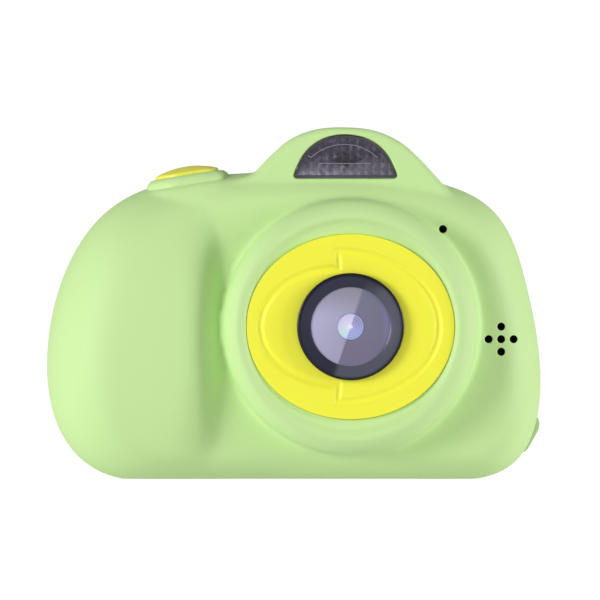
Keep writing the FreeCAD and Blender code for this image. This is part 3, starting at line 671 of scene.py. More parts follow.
def circuit(name):
    """Solder mask over copper tracks."""
    f = Finish(name)
    x, _, z = f.axes()
    cell = f.node("ShaderNodeTexVoronoi", {"feature": "F1", "distance": "MANHATTAN"},
                  {"Vector": f.place(), "Scale": 900.0})
    track = f.between(cell, 0.35, 0.45)
    lanes = f.node("ShaderNodeMath", {"operation": "PINGPONG"}, (x + z, 0.55))
    lane = f.between(lanes, 0.2, 0.26)
    tone = f.blend(track * lane, (0.010, 0.075, 0.030), (0.022, 0.135, 0.055))
    return f.shade(Base_Color=tone, Roughness=0.34, Coat_Weight=0.4, Normal=f.relief(track * lane, 0.03, 0.4))


def display_glass(name):
    """A switched-off display: near-black with a faint violet painted reflection towards one corner."""
    f = Finish(name)
    x, _, z = f.axes()
    screen_glare_mask = f.between(x * 0.5 - z * 0.6, -28.0, 12.0)
    rows = f.node("ShaderNodeMath", {"operation": "PINGPONG"}, (z, 0.06))
    tone = f.blend(screen_glare_mask, (0.010, 0.011, 0.017), (0.030, 0.028, 0.046))
    return f.shade(Base_Color=tone, Roughness=0.16 + rows * 0.3, Coat_Weight=0.6)


def reflection_painted_window(name):
    """Cover glass with a painted reflection: lavender on one side of a slanting line and slate on the other, with a
    painted crescent of light and a darker band along the line.
    """
    own = bpy.context.scene.toy_lens
    f = Finish(name)
    x, _, z = f.axes()
    across, up = x - LENS.x / MM, z - LENS.z / MM
    slant = across - up * 0.345
    line = f.between(slant, -0.02, 0.16)
    edge = f.between(abs(slant + 0.12), 0.16, 0.02)
    # Painted reflection: the lavender side is a light reflected in the glass, lighter towards the upper left and
    # greyer towards the top.
    bright = f.blend(f.between(up * 0.5 - across, -1.0, 9.0), scaled(own.veil, 0.90), scaled(own.veil, 1.12))
    bright = f.blend(f.between(up, 1.0, 8.0), bright, scaled((0.33, 0.31, 0.40), 1.0))
    # The dark side of the painted reflection, with a painted crescent of violet light along its right edge.
    dark = f.blend(f.between(up, -7.0, 7.0), (0.205, 0.185, 0.29), scaled(own.shade, 1.0))
    reach = ((across + 2.4) * (across + 2.4) + up * up) ** 0.5
    glow = f.between(reach, 8.7, 9.5) * f.between(up, -5.5, 0.0) * f.between(up, 5.5, 1.5)
    dark = f.blend(glow * 0.7, dark, (0.25, 0.235, 0.46))
    tone = f.blend(line, bright, dark)
    # A painted dark band along the slanting line between the two tones.
    tone = f.blend(edge * f.between(up, -7.0, 7.0, 0.15, 0.55), tone, (0.10, 0.095, 0.15))
    radius = (across * across + up * up) ** 0.5
    seen = f.between(radius, 2.45, 2.85, 0.12, 0.96)
    return f.shade(Base_Color=tone, Roughness=0.10 + f.noise(0.5, 3.0) * 0.03, Alpha=seen, Coat_Weight=0.5,
                   Coat_Roughness=0.04, Specular_IOR_Level=0.2)


def glow_painted_element(name):
    """The small front lens: turned rings, a painted reflection pale on the lit side and violet and blue on the other,
    a painted highlight at the middle, and a painted glow from emission.
    """
    f = Finish(name)
    x, _, z = f.axes()
    across, up = x - LENS.x / MM, z - LENS.z / MM
    slant = across - up * 0.345
    radius = (across * across + up * up) ** 0.5
    rings = f.node("ShaderNodeMath", {"operation": "PINGPONG"}, (radius, 0.28)) * 3.5
    # Painted reflection: pale on the left of the slanting line, violet and blue on the right.
    left = f.blend(f.between(up, -1.4, 1.6), (0.66, 0.86, 0.90), (0.74, 0.66, 0.95))
    right = f.blend(f.between(up, -1.8, 1.2), (0.36, 0.43, 0.88), (0.33, 0.28, 0.58))
    rim = f.between(up + across, -3.6, -1.0, 0.0, 1.0)
    tone = f.blend(f.between(slant, -0.05, 0.12), left, right)
    tone = f.blend(rings * 0.3, tone, scaled((0.86, 0.84, 1.0), 1.0))
    # A painted highlight at the middle, and a painted blue rim of reflection round the edge except at the lower left.
    tone = f.blend(f.between(radius, 0.7, 0.1), tone, (0.97, 0.95, 1.0))
    tone = f.blend(f.between(radius, 2.2, 2.65) * rim, tone, (0.40, 0.60, 0.92))
    # Emission makes the lens glow in its own painted colours: painted light, as it is no lamp.
    return f.shade(Base_Color=tone, Roughness=0.12, Coat_Weight=1.0, Coat_Roughness=0.03, Emission_Color=tone,
                   Emission_Strength=0.95, Normal=f.relief(rings, 0.02, 0.3))


def bezel_black(name):
    """Glossy ring round the glass with a painted reflection: blue-black on its left, slate on its right, split where
    the glass is.
    """
    own = bpy.context.scene.toy_lens
    f = Finish(name)
    x, _, z = f.axes()
    across, up = x - LENS.x / MM, z - LENS.z / MM
    slant = across - up * 0.345
    radius = (across * across + up * up) ** 0.5
    # This mask is the painted reflection: slate where a light is reflected, blue-black elsewhere.
    side = f.between(slant, -0.6, 0.8) * f.between(up, 9.6, 5.0) + f.between(slant, 2.0, 6.0) * f.between(up, 4.0, 9.0)
    tone = f.blend(f.between(side, 0.0, 1.0, smooth=False), own.navy, own.slate)
    # Painted sheen: the tone is lifted slightly towards the upper left.
    tone = f.blend(f.between(up - across, -9.0, 10.0), tone, scaled((0.022, 0.021, 0.052), 1.0), "LIGHTEN")
    rim = f.between(radius, 10.05, 10.2)
    tone = f.blend(rim, tone, (0.005, 0.005, 0.006))
    fine = f.noise(0.3, 2.0)
    return f.shade(Base_Color=tone, Roughness=0.30 + fine * 0.08, Coat_Weight=0.3, Coat_Roughness=0.15,
                   Specular_IOR_Level=0.3, Normal=f.relief(fine, 0.004, 0.3))


def reflector_silver(name):
    """Vacuum-coated facets with painted light: bright towards the lower left, dim at the right, and a near-black patch
    painted near the middle.
    """
    f = Finish(name)
    low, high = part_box("flash_window")
    x, _, z = f.axes()
    u, v = x - (low.x + high.x) / 2 / MM, z - low.z / MM
    haze = f.noise(1.1, 3.0, 0.6)
    patch = f.noise(1.4, 0.0)
    # Painted light: the facets are lit towards the lower left and dim at the right.
    lit = f.between(v - u * 0.12, 4.8, 0.8) * f.between(u, 7.0, -6.0, 0.4, 1.0)
    tone = f.blend(lit, (0.05, 0.045, 0.07), (0.50, 0.47, 0.60))
    tone = f.blend(f.between(patch, 0.50, 0.62) * 0.6, tone, (0.085, 0.075, 0.115))
    tone = f.blend(f.between(haze, 0.45, 0.7) * 0.5, tone, (0.30, 0.27, 0.38))
    # A near-black patch painted near the middle of the facets.
    dark_middle_patch = f.between(abs(u - 0.2) * 0.5 + abs(v - 3.7) * 1.1 + (haze - 0.5) * 1.6, 1.9, 1.3)
    tone = f.blend(dark_middle_patch, tone, (0.006, 0.006, 0.008))
    return f.shade(Base_Color=tone, Metallic=0.15, Roughness=0.3 + haze * 0.15)


def window_back(name):
    """The smoked border round the facets."""
    f = Finish(name)
    tone = f.blend(f.noise(1.6, 3.0), (0.10, 0.08, 0.13), (0.19, 0.165, 0.24))
    return f.shade(Base_Color=tone, Roughness=0.25, Coat_Weight=0.5)


def rib_clear(name):
    """The moulded lines of the flash window, coloured pale as a painted highlight where they catch the light along
    their tops.
    """
    f = Finish(name)
    tone = f.blend(f.noise(1.5, 2.0), (0.50, 0.47, 0.58), (0.80, 0.78, 0.86))
    return f.shade(Base_Color=tone, Roughness=0.2, Coat_Weight=0.6)


def smoked_window(name):
    own = bpy.context.scene.toy_flash
    f = Finish(name)
    haze = f.noise(2.4, 3.0)
    x, _, z = f.axes()
    tone = f.blend(haze, scaled(own.tint, 0.85), scaled(own.tint, 1.15))
    return f.shade(Base_Color=tone, Alpha=0.16 + haze * 0.06, Roughness=0.06, Coat_Weight=0.6,
                   Coat_Roughness=0.03)


def key_white(name):
    """White keys with printed symbols: a ring with a bar, three bars, a triangle, arrows and a ring."""
    own = bpy.context.scene.toy_keys
    f = Finish(name)
    x, y, z = f.axes()
    ink = None

    def add(mask):
        nonlocal ink
        ink = mask if ink is None else ink + mask

    def centre(node):
        low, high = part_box(node)
        return (low.x + high.x) / 2 / MM, (low.z + high.z) / 2 / MM

    px, pz = centre("power_button")
    u, v = x - px, z - pz
    radius = (u * u + v * v) ** 0.5
    gap = 1.0 - f.between(abs(u), 0.5, 0.42) * (v > 0.2)
    add(f.between(abs(radius - 1.25), 0.22, 0.14) * gap)
    add(f.between(abs(u), 0.2, 0.13) * f.between(abs(v - 1.0), 0.85, 0.77))
    mx, mz = centre("menu_button")
    u, v = x - mx, z - mz
    for k in (-0.8, 0.0, 0.8):
        add(f.between(abs(v - k), 0.22, 0.14) * f.between(abs(u), 1.35, 1.27))
    lx, lz = centre("play_button")
    u, v = lx - x, z - lz
    add(f.between(abs(v) + (u * 0.58 - 0.75), 0.04, -0.04) * (u > -0.95))
    ox, oz = centre("ok_button")
    u, v = x - ox, z - oz
    radius = (u * u + v * v) ** 0.5
    add(f.between(abs(radius - 1.1), 0.22, 0.14))
    for node, dx, dz in (("up_key", 0, 1), ("down_key", 0, -1), ("left_key", -1, 0), ("right_key", 1, 0)):
        kx, kz = ox + dx * 6.9, oz + dz * 6.9
        u, v = x - kx, z - kz
        along = u * dx + v * dz
        over = u * dz + v * dx
        add(f.between(abs(over) + along * 0.9, 0.74, 0.66) * (along > -0.45))
    printed = f.between(ink, 0.2, 0.8) * (y > 20.3)
    grain = f.noise(0.2, 2.0)
    tone = f.blend(f.noise(5.0, 2.0), scaled(own.white, 0.97), own.white)
    tone = f.blend(printed, tone, (0.045, 0.05, 0.055))
    return f.shade(Base_Color=tone, Roughness=0.36 + grain * 0.06 + printed * 0.1,
                   Normal=f.relief(grain, 0.004, 0.3))


def case_green(name, colour):
    """The hard case: moulded plastic, painted near-black round the sound holes behind the sleeve's holes as painted
    shade inside the holes.
    """
    material = moulded(name, colour, 0.42, 0.3, 0.01)
    f = Finish.over(material)
    x, y, z = f.axes()
    (mx, mz), (sx, sz) = MIC, SPEAKER_HOLES
    u, v = abs(x - sx), abs(z - sz)
    near = 1.0 - f.between((x - mx) * (x - mx) + (z - mz) * (z - mz), 1.0, 1.4)
    cross = (u < 1.2) * (v < 3.7) + (v < 1.2) * (u < 3.7)
    # Painted shade: the case is near-black round and inside the sound holes, where the holes would be dark.
    hole_shade = f.between((near + cross) * (y < -4.0), 0.0, 0.5)
    base = f.shader.inputs["Base Color"]
    own = Socket(f, base.links[0].from_socket)
    f.shade(Base_Color=f.blend(hole_shade, own, (0.004, 0.004, 0.004)))
    return material


def finish_makers():
    scene = bpy.context.scene
    green = tuple(scene.toy_sleeve.colour)
    yellow = tuple(scene.toy_plate.colour)
    return {
        "green_silicone": lambda n: silicone(n, green),
        "green_abs": lambda n: case_green(n, scaled(green, 0.94)),
        "yellow_abs": lambda n: moulded(n, yellow, 0.52, 0.25, 0.005, 0.0, 0.985),
        "shutter_yellow": lambda n: moulded(n, tuple(scene.toy_keys.colour), 0.38, 0.2, 0.006, 0.0, 0.97),
        "black_abs": bezel_black,
        "white_abs": key_white,
        "clear_acrylic": lambda n: glass_like(n, (0.9, 0.92, 0.93), 0.18),
        "dark_acrylic": lambda n: glass_like(n, (0.008, 0.009, 0.012), 0.82, 0.06),
        "smoked_acrylic": smoked_window,
        "coated_glass": glow_painted_element,
        "cover_glass": reflection_painted_window,
        "silvered": reflector_silver,
        "rib_clear": rib_clear,
        "window_back": window_back,
        "led_yellow": lambda n: moulded(n, (0.9, 0.72, 0.08), 0.3, 0.1, 0.01, 0.5),
        "circuit_board": circuit,
        "chip_black": lambda n: moulded(n, (0.016, 0.016, 0.018), 0.55, 0.12, 0.008),
        "flex_amber": lambda n: moulded(n, (0.45, 0.17, 0.02), 0.32, 0.6, 0.004, 0.3),
        "display": display_glass,
        "foil": lambda n: metal(n, (0.72, 0.73, 0.75), 0.34),
        "foam_black": lambda n: silicone(n, (0.02, 0.02, 0.022)),
        "rubber_black": lambda n: silicone(n, (0.018, 0.018, 0.02)),
        "wire_red": lambda n: moulded(n, (0.62, 0.03, 0.02), 0.4, 0.2, 0.004),
        "metal_can": lambda n: metal(n, (0.68, 0.69, 0.70), 0.26),
        "card_black": lambda n: moulded(n, (0.022, 0.023, 0.026), 0.4, 0.16, 0.006),
        "screw_steel": lambda n: metal(n, (0.52, 0.52, 0.54), 0.3, 0.3),
        "light_pipe": lambda n: glass_like(n, (0.85, 0.87, 0.86), 0.55, 0.2),
        "plunger_black": lambda n: moulded(n, (0.02, 0.02, 0.022), 0.5, 0.15, 0.006),
    }


FINISHES = {}


def finish(slot):
    """The material of that name, made on first use."""
    if slot not in FINISHES:
        FINISHES[slot] = finish_makers()[slot](slot + "_finish")
    return FINISHES[slot]


# ---------------------------------------------------------------- building the pieces
def window_outline(grow_by=0.0):
    """The flash window's outline: a round top over flanks that run out to two lower corners."""
    low, high = (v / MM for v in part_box("flash_window"))
    middle = (low.x + high.x) / 2
    half = (high.x - low.x) / 2
    foot, top = low.z, high.z
    anchors = [
        (-half + 0.5, foot), (-half + 0.05, foot + 0.28), (-half + 0.02, foot + 0.8), (-half + 0.62, foot + 2.3),
        (-half + 1.75, foot + 4.45), (-half + 3.6, foot + 6.45), (-half + 6.3, foot + 7.95), (-0.2, top),
    ]
    right = [(half - 0.5, foot), (half - 0.05, foot + 0.28), (half - 0.02, foot + 0.8), (half - 0.62, foot + 2.3),
             (half - 1.75, foot + 4.45), (half - 3.6, foot + 6.45), (half - 6.3, foot + 7.95)]
    arch = [(p.x, p.y) for p in smooth_line(anchors + right[::-1], 4)]
    outline = [(middle + x, z) for x, z in arch]
    return grown(outline, grow_by) if grow_by else outline


def panel_outline(inset, count=220):
    return [outline_point(i / count, inset) for i in range(count)]


def rounded_box(low, high, radius, segments=4):
    """A box in millimetres with all its edges rounded."""
    bm = bmesh.new()
    bmesh.ops.create_cube(bm, size=1)
    size = [(b - a) * MM for a, b in zip(low, high)]
    middle = [(a + b) / 2 * MM for a, b in zip(low, high)]
    bmesh.ops.scale(bm, verts=bm.verts, vec=size)
    bmesh.ops.translate(bm, verts=bm.verts, vec=middle)
    bmesh.ops.bevel(bm, geom=bm.edges, offset=radius * MM, offset_type="OFFSET", affect="EDGES",
                    segments=segments, profile=0.5, material=-1, clamp_overlap=True)
    return bm


def rod(radius, low, high, centre, axis=FORWARD, out=Vector((1, 0, 0)), steps=48):
    return turned([(0, low), (radius, low), (radius, high), (0, high)], steps, centre, axis, out)


def lug_cutters():
    """The pocket round the strap lug, and the two finger-soft hollows before and behind it."""
    low, high = (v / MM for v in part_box("strap_lug"))
    centre = Vector(next(m["pos_m"] for m in frame["record"]["mounts"] if m["name"] == "strap_eyelet"))
    along = Vector((0.481, 0, 0.877))
    out = Vector((0.877, 0, -0.481))
    pocket = bmesh.new()
    bmesh.ops.create_cube(pocket, size=1)
    bmesh.ops.scale(pocket, verts=pocket.verts, vec=(6.2 * MM, (high.y - low.y + 0.2) * MM, 9.6 * MM))
    long_edges = [e for e in pocket.edges if abs(e.verts[0].co.y - e.verts[1].co.y) > MM]
    bmesh.ops.bevel(pocket, geom=long_edges, offset=3.05 * MM, offset_type="OFFSET", affect="EDGES", segments=10,
                    profile=0.5, material=-1, clamp_overlap=True)
    bmesh.ops.rotate(pocket, verts=pocket.verts, cent=(0, 0, 0), matrix=Matrix.Rotation(math.radians(28.74), 3, "Y"))
    bmesh.ops.translate(pocket, verts=pocket.verts, vec=Vector((centre.x, (low.y + high.y) / 2 * MM, centre.z)))
    slot = bmesh.new()
    bmesh.ops.create_cube(slot, size=1)
    bmesh.ops.scale(slot, verts=slot.verts, vec=(11.1 * MM, (24 - high.y) * MM, 4.2 * MM))
    inner = [e for e in slot.edges if all(v.co.x < 0 for v in e.verts) and abs(e.verts[0].co.y - e.verts[1].co.y) > MM]
    bmesh.ops.bevel(slot, geom=inner, offset=2.05 * MM, offset_type="OFFSET", affect="EDGES", segments=8,
                    profile=0.5, material=-1, clamp_overlap=True)
    bmesh.ops.translate(slot, verts=slot.verts, vec=(11.1 / 2 * MM - 2.1 * MM, 0, 0))
    bmesh.ops.rotate(slot, verts=slot.verts, cent=(0, 0, 0), matrix=Matrix.Rotation(math.radians(28.74), 3, "Y"))
    bmesh.ops.translate(slot, verts=slot.verts, vec=Vector((centre.x, (24 + high.y) / 2 * MM, centre.z)))
    made = [pocket, slot]
    edge = centre + out * (3.0 - 0.7) * MM
    for y, front, back in ((low.y, low.y - 6, low.y - 0.1), (high.y, high.y + 0.1, high.y + 6)):
        scoop = bmesh.new()
        bmesh.ops.create_uvsphere(scoop, u_segments=48, v_segments=24, radius=4.8 * MM)
        bmesh.ops.scale(scoop, verts=scoop.verts, vec=(1, 1, 1.05))
        bmesh.ops.rotate(scoop, verts=scoop.verts, cent=(0, 0, 0), matrix=Matrix.Rotation(math.radians(28.74), 3, "Y"))
        bmesh.ops.translate(scoop, verts=scoop.verts, vec=Vector((edge.x, y * MM, edge.z)))
        keep = (back if front < low.y else front) * MM
        cut = bmesh.ops.bisect_plane(scoop, geom=scoop.verts[:] + scoop.edges[:] + scoop.faces[:],
                                     plane_co=(0, keep, 0), plane_no=(0, 1 if y == low.y else -1, 0),
                                     clear_outer=True)
        bmesh.ops.edgeloop_fill(scoop, edges=[e for e in cut["geom_cut"] if isinstance(e, bmesh.types.BMEdge)])
        bmesh.ops.recalc_face_normals(scoop, faces=scoop.faces)
        made.append(scoop)
    return made


def sleeve_cutters(lip):
    """Everything that is taken out of the sleeve, with rounded mouths where hands and eyes meet them."""
    lens_x, lens_z = LENS.x / MM, LENS.z / MM
    boss = turned([(0, 5), (23.8, 5), (23.8, 12.6), (23.2, 15.3), (21.5, 16.7), (0, 16.7)])
    sole = bmesh.new()
    bmesh.ops.create_cube(sole, size=1)
    bmesh.ops.scale(sole, verts=sole.verts, vec=(0.3, 0.3, 0.04))
    bmesh.ops.translate(sole, verts=sole.verts, vec=(0, 0, -0.02))
    port_low, port_high = (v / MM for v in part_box("port_cover"))
    port = rounded_box((44, port_low.y - 0.15, port_low.z - 0.15), (60, port_high.y + 0.15, port_high.z + 0.15), 0.5)
    cutters = [
        sole, pebble(SKIN, 160, 2), hump(SKIN), boss, port,
        mouth(circle_points(lens_x, lens_z, PLATE_A / MM + 0.02, 240, PLATE_B / MM + 0.02), -18.5, -14, 0.05),
        mouth(window_outline(0.12), -HUMP_FRONT, -5, lip),
        mouth(panel_outline(PANEL_INSET), REAR, 15, 0.6, facing=1),
        shutter_turned([(0, -6), (6.55, -6), (6.55, 1.1), (6.62, 1.3), (6.85, 1.5), (6.85, 3), (0, 3)]),
    ]
    holes = [MIC] + [(SPEAKER_HOLES[0] + dx * HOLE_PITCH, SPEAKER_HOLES[1] + dz * HOLE_PITCH)
                     for dx, dz in ((0, 0), (1, 0), (-1, 0), (0, 1), (0, -1))]
    for x, z in holes:
        cutters.append(mouth(circle_points(x, z, HOLE_R, 28), -face_depth(x, z), 0, 0.15, 3))
    return cutters + lug_cutters()


class ToyOperator(Operator):
    """Shared behaviour of the building operators"""
    bl_options = {"REGISTER", "UNDO"}

    def execute(self, context):
        self.build(context.scene)
        return {"FINISHED"}


class TOY_OT_sleeve(ToyOperator):
    """Builds the soft one-piece sleeve round the hard case"""
    bl_idname = "toy.sleeve"
    bl_label = "Soft sleeve"

    def build(self, scene):
        own = scene.toy_sleeve
        mound = shutter_turned([(0, -4), (10.6, -4), (9.9, -1.6), (9.2, -0.7), (8.2, -0.4), (0, -0.4)])
        collar = shutter_turned([(0, -1.6), (8.7, -1.6), (8.35, 0), (8.2, 0.5), (7.9, 0.9), (7.45, 1.25), (6.9, 1.45),
                                 (0, 1.45)], 160)
        ring = turned([(0, 4)] + [(p.x, p.y) for p in smooth_line(RING[:2], 2)] + [
            (p.x, p.y) for p in smooth_line(RING[1:], 6)] + [(0, 18.5)], 192)
        whole = merged([pebble(0), hump(), ring, mound])
        skin = baked(whole, ("REMESH", {"mode": "VOXEL", "voxel_size": own.cell, "use_smooth_shade": True}),
                     ("SMOOTH", {"factor": 0.5, "iterations": own.soften}))
        stud = helper_object(collar)
        skin = baked_mesh(skin, ("BOOLEAN", {"operation": "UNION", "solver": "MANIFOLD", "object": stud}))
        bpy.data.objects.remove(stud)
        made = carved(skin, sleeve_cutters(own.lip))
        finished("silicone_sleeve", "camera", made, ["silicone_sleeve"],
                 finish("green_silicone"), 38)


def groove_distance(path, point):
    """Distance from a point to a line of points, all (x, z) in millimetres."""
    best = 1e9
    for a, b in zip(path, path[1:]):
        run = b - a
        share = max(0, min(1, (point - a).dot(run) / run.length_squared))
        best = min(best, (point - a - run * share).length)
    return best


def ornament_path():
    """The groove's line round the lens: a smaller arc at the left, a larger one at the right, joined by steps."""
    step = -2.6
    left = [Vector((step + 0.2 - 15.6 * math.sin(math.pi * i / 24), 11.6 * math.cos(math.pi * i / 24)))
            for i in range(25)]
    right = [Vector((step + 20.1 * math.sin(math.pi * i / 30), 15.0 * math.cos(math.pi * i / 30)))
             for i in range(31)]
    return [right[0]] + left + right[::-1]


class TOY_OT_face_plate(ToyOperator):
    """Builds the oval yellow plate with its shallow groove"""
    bl_idname = "toy.face_plate"
    bl_label = "Face plate"

    def build(self, scene):
        own = scene.toy_plate
        hole, outer = 8.9, PLATE_A / MM
        front, back = -PLATE_FRONT / MM, -PLATE_BACK / MM
        flat = [(hole + (outer - 0.2 - hole) * i / 78, front) for i in range(79)]
        rim = [(outer - 0.2 + 0.2 * math.sin(math.pi / 2 * i / 6), front - 0.2 + 0.2 * math.cos(math.pi / 2 * i / 6))
               for i in range(1, 7)]
        profile = flat + rim + [(outer, back), (outer - 1.6, back), (outer - 1.6, front - 1.6), (hole, front - 1.6)]
        bm = turned(profile, 400)
        squeeze = PLATE_B / PLATE_A
        path = ornament_path()
        for v in bm.verts:
            across, up = (v.co.x - LENS.x) / MM, (v.co.z - LENS.z) / MM
            radius = math.hypot(across, up)
            share = max(0, min(1, (radius - hole) / (outer - hole)))
            up *= 1 - (1 - squeeze) * share
            v.co.z = LENS.z + up * MM
            if v.co.y < PLATE_FRONT + 0.3 * MM and radius < outer - 0.5:
                near = groove_distance(path, Vector((across, up))) / own.groove
                if near < 1:
                    v.co.y += own.depth * MM * (0.5 + 0.5 * math.cos(math.pi * near)) ** 0.8
        piece("face_plate", "camera", bm, ["face_plate"], finish("yellow_abs"), 50)


class TOY_OT_lens(ToyOperator):
    """Builds the glossy ring, the cover glass with its painted reflection, the stepped cone and the small front lens
    """
    bl_idname = "toy.lens"
    bl_label = "Lens"

    def build(self, scene):
        top = -BEZEL_FRONT / MM
        r = BEZEL_R / MM
        round_over = [(r - 0.35 + 0.35 * math.cos(a), top - 0.35 + 0.35 * math.sin(a))
                      for a in (math.pi / 2 * i / 6 for i in range(7))]
        bezel = [(8.25, 17.7), (8.85, 17.7), (8.85, 19.42), (r, 19.42)] + round_over + [
            (10.12, top), (10.04, top - 0.09), (9.96, top - 0.09), (9.88, top - 0.01), (9.6, top - 0.03),
            (9.0, top - 0.22), (8.4, top - 0.42), (8.0, top - 0.56), (7.86, top - 0.64), (7.85, 19.85), (8.25, 19.85),
        ]
        piece("lens_bezel", "camera", turned(bezel, 160), ["lens_bezel"], finish("black_abs"), 25)
        glass = [(0, 18.8), (8.1, 18.8), (8.15, 18.85), (8.15, 19.72), (8.07, 19.8), (0, 19.8)]
        piece("lens_window", "camera", turned(glass, 128), ["lens_window"], finish("cover_glass"),
              30)
        steps = []
        for i in range(10):
            radius = 6.9 - 4.15 * i / 9
            steps += [(radius, 17.4 - 0.27 * i), (radius, 17.4 - 0.27 * (i + 1))]
        cone = [(6.95, 18.72), (8.15, 18.72), (8.15, 17.65), (6.95, 17.65), (6.95, 14.9), (2.75, 14.9)]
        piece("lens_cone", "camera", turned([(7.7, 18.72)] + steps + [(2.75, 14.5), (8.15, 14.5), (8.15, 18.72)], 96),
              ["lens_cone"], finish("plunger_black"), 30)
        dome = []
        for i in range(13):
            a = math.radians(45) * (1 - i / 12)
            dome.append((2.62 * math.sin(a) / math.sin(math.radians(45)),
                         15.0 + 1.1 * (math.cos(a) - math.cos(math.radians(45))) / (1 - math.cos(math.radians(45)))))
        piece("front_element", "camera", turned([(0, 13.0), (2.62, 13.0)] + dome, 96), ["front_element"],
              finish("coated_glass"), 40)


class TOY_OT_flash(ToyOperator):
    """Builds the smoked window and the faceted reflector behind it"""
    bl_idname = "toy.flash"
    bl_label = "Flash"

    def build(self, scene):
        own = scene.toy_flash
        low, high = (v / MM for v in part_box("flash_window"))
        pane = prism(window_outline(-0.05), FLASH_FRONT, FLASH_FRONT + 0.4)
        rim = [e for e in pane.edges if all(abs(v.co.y / MM - FLASH_FRONT) < 0.01 for v in e.verts)]
        bmesh.ops.bevel(pane, geom=rim, offset=0.25 * MM, offset_type="OFFSET", affect="EDGES", segments=3,
                        profile=0.5, material=-1, clamp_overlap=True)
        piece("flash_window", "camera", pane, ["flash_window"], finish("smoked_acrylic"), 30)

        middle = (low.x + high.x) / 2
        turns = [math.radians(-43 + 86 * i / 28) for i in range(29)]
        arc = [Vector((middle - 0.2 + 9.7 * math.sin(a), 0, low.z - 3.0 + 9.7 * math.cos(a))) for a in turns]
        bar = [Vector((middle + x, 0, low.z + 2.9)) for x in (-5.2, -1.7, 1.8, 5.0)]
        tick = [arc[0] + Vector((-0.05, 0, 0.05)), arc[0] + Vector((-0.75, 0, 0.45))]
        ribs = [ridge(arc, 0.06, FLASH_FRONT + 0.45), ridge(bar, 0.06, FLASH_FRONT + 0.45),
                ridge(tick, 0.06, FLASH_FRONT + 0.45)]
        piece("flash_ribs", "camera", merged(ribs), (), finish("rib_clear"), 30)

        count_x = round((high.x - low.x) * MM / own.facet)
        count_z = round((high.z - low.z) * MM / own.facet)
        facets = bmesh.new()
        bmesh.ops.create_grid(facets, x_segments=count_x, y_segments=count_z, size=0.5)
        bmesh.ops.scale(facets, verts=facets.verts, vec=((high.x - low.x) * MM, (high.z - low.z) * MM, 1))
        bmesh.ops.rotate(facets, verts=facets.verts, cent=(0, 0, 0), matrix=Matrix.Rotation(math.pi / 2, 3, "X"))
        bmesh.ops.translate(facets, verts=facets.verts,
                            vec=(middle * MM, (FLASH_FRONT + 1.15) * MM, (low.z + high.z) / 2 * MM))
        peaks = bmesh.ops.poke(facets, faces=facets.faces[:], offset=0.0)
        for v in peaks["verts"]:
            v.co.y -= 0.3 * MM
        backs = bmesh.ops.extrude_face_region(facets, geom=facets.faces[:])
        bmesh.ops.translate(facets, verts=[v for v in backs["geom"] if isinstance(v, bmesh.types.BMVert)],
                            vec=(0, 0.1 * MM, 0))
        bmesh.ops.recalc_face_normals(facets, faces=facets.faces)
        piece("flash_back", "camera", prism(window_outline(-0.08), FLASH_FRONT + 1.3, FLASH_FRONT + 1.7), (),
              finish("window_back"), 30)
        shape = helper_object(prism(window_outline(-0.6), -10, -6))
        mesh = bpy.data.meshes.new("flash_facets")
        facets.to_mesh(mesh)
        facets.free()
        made = baked_mesh(mesh, ("BOOLEAN", {"operation": "INTERSECT", "solver": "MANIFOLD", "object": shape}))
        bpy.data.objects.remove(shape)
        finished("flash_facets", "camera", made, (), finish("silvered"), 5)


def ridge(points, half, y):
    """A thin raised line along points at depth y, half as wide as given, in millimetres."""
    bm = bmesh.new()
    for a, b in zip(points, points[1:]):
        run = (b - a).normalized()
        side = Vector((-run.z, 0, run.x)) * half
        corners = [bm.verts.new((p + s + Vector((0, y, 0))) * MM) for p, s in
                   ((a - run * 0.02, -side), (b + run * 0.02, -side), (b + run * 0.02, side), (a - run * 0.02, side))]
        face = bm.faces.new(corners)
        made = bmesh.ops.extrude_face_region(bm, geom=[face])
        bmesh.ops.translate(bm, verts=[v for v in made["geom"] if isinstance(v, bmesh.types.BMVert)],
                            vec=(0, 0.5 * MM, 0))
    bmesh.ops.recalc_face_normals(bm, faces=bm.faces)
    return bm


class TOY_OT_shutter(ToyOperator):
    """Builds the domed shutter button"""
    bl_idname = "toy.shutter"
    bl_label = "Shutter button"

    def build(self, scene):
        dome = []
        chord, rise = 5.9, 1.05
        radius = (chord ** 2 + rise ** 2) / (2 * rise)
        for i in range(15):
            r = chord * (1 - i / 14)
            dome.append((r, 2.15 + math.sqrt(radius ** 2 - r ** 2) - (radius - rise)))
        profile = [(0, -4.75), (7.5, -4.75), (7.5, -3.95), (6.4, -3.95), (6.4, 1.5), (6.36, 1.72), (6.27, 1.95),
                   (6.1, 2.09)] + dome
        piece("shutter_button", "shutter_release", shutter_turned(profile, 128), ["shutter_button"],
              finish("shutter_yellow"), 50)


class TOY_OT_port_cover(ToyOperator):
    """Builds the soft flap over the ports"""
    bl_idname = "toy.port_cover"
    bl_label = "Port cover"

    def build(self, scene):
        low, high = (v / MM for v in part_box("port_cover"))
        block = helper_object(rounded_box((45.0, low.y, low.z), (60, high.y, high.z), 0.45))
        inner = helper_object(pebble(SKIN, 160, 2))
        mesh = bpy.data.meshes.new("work")
        form = pebble(0)
        form.to_mesh(mesh)
        form.free()
        made = baked_mesh(mesh,
                          ("BOOLEAN", {"operation": "INTERSECT", "solver": "MANIFOLD", "object": block}),
                          ("BOOLEAN", {"operation": "DIFFERENCE", "solver": "MANIFOLD", "object": inner}),
                          ("REMESH", {"mode": "VOXEL", "voxel_size": 0.22 * MM}),
                          ("SMOOTH", {"factor": 0.5, "iterations": 3}))
        for helper in (block, inner):
            bpy.data.objects.remove(helper)
        finished("port_cover", "port_cover", made, ["port_cover"], finish("green_silicone"), 45)


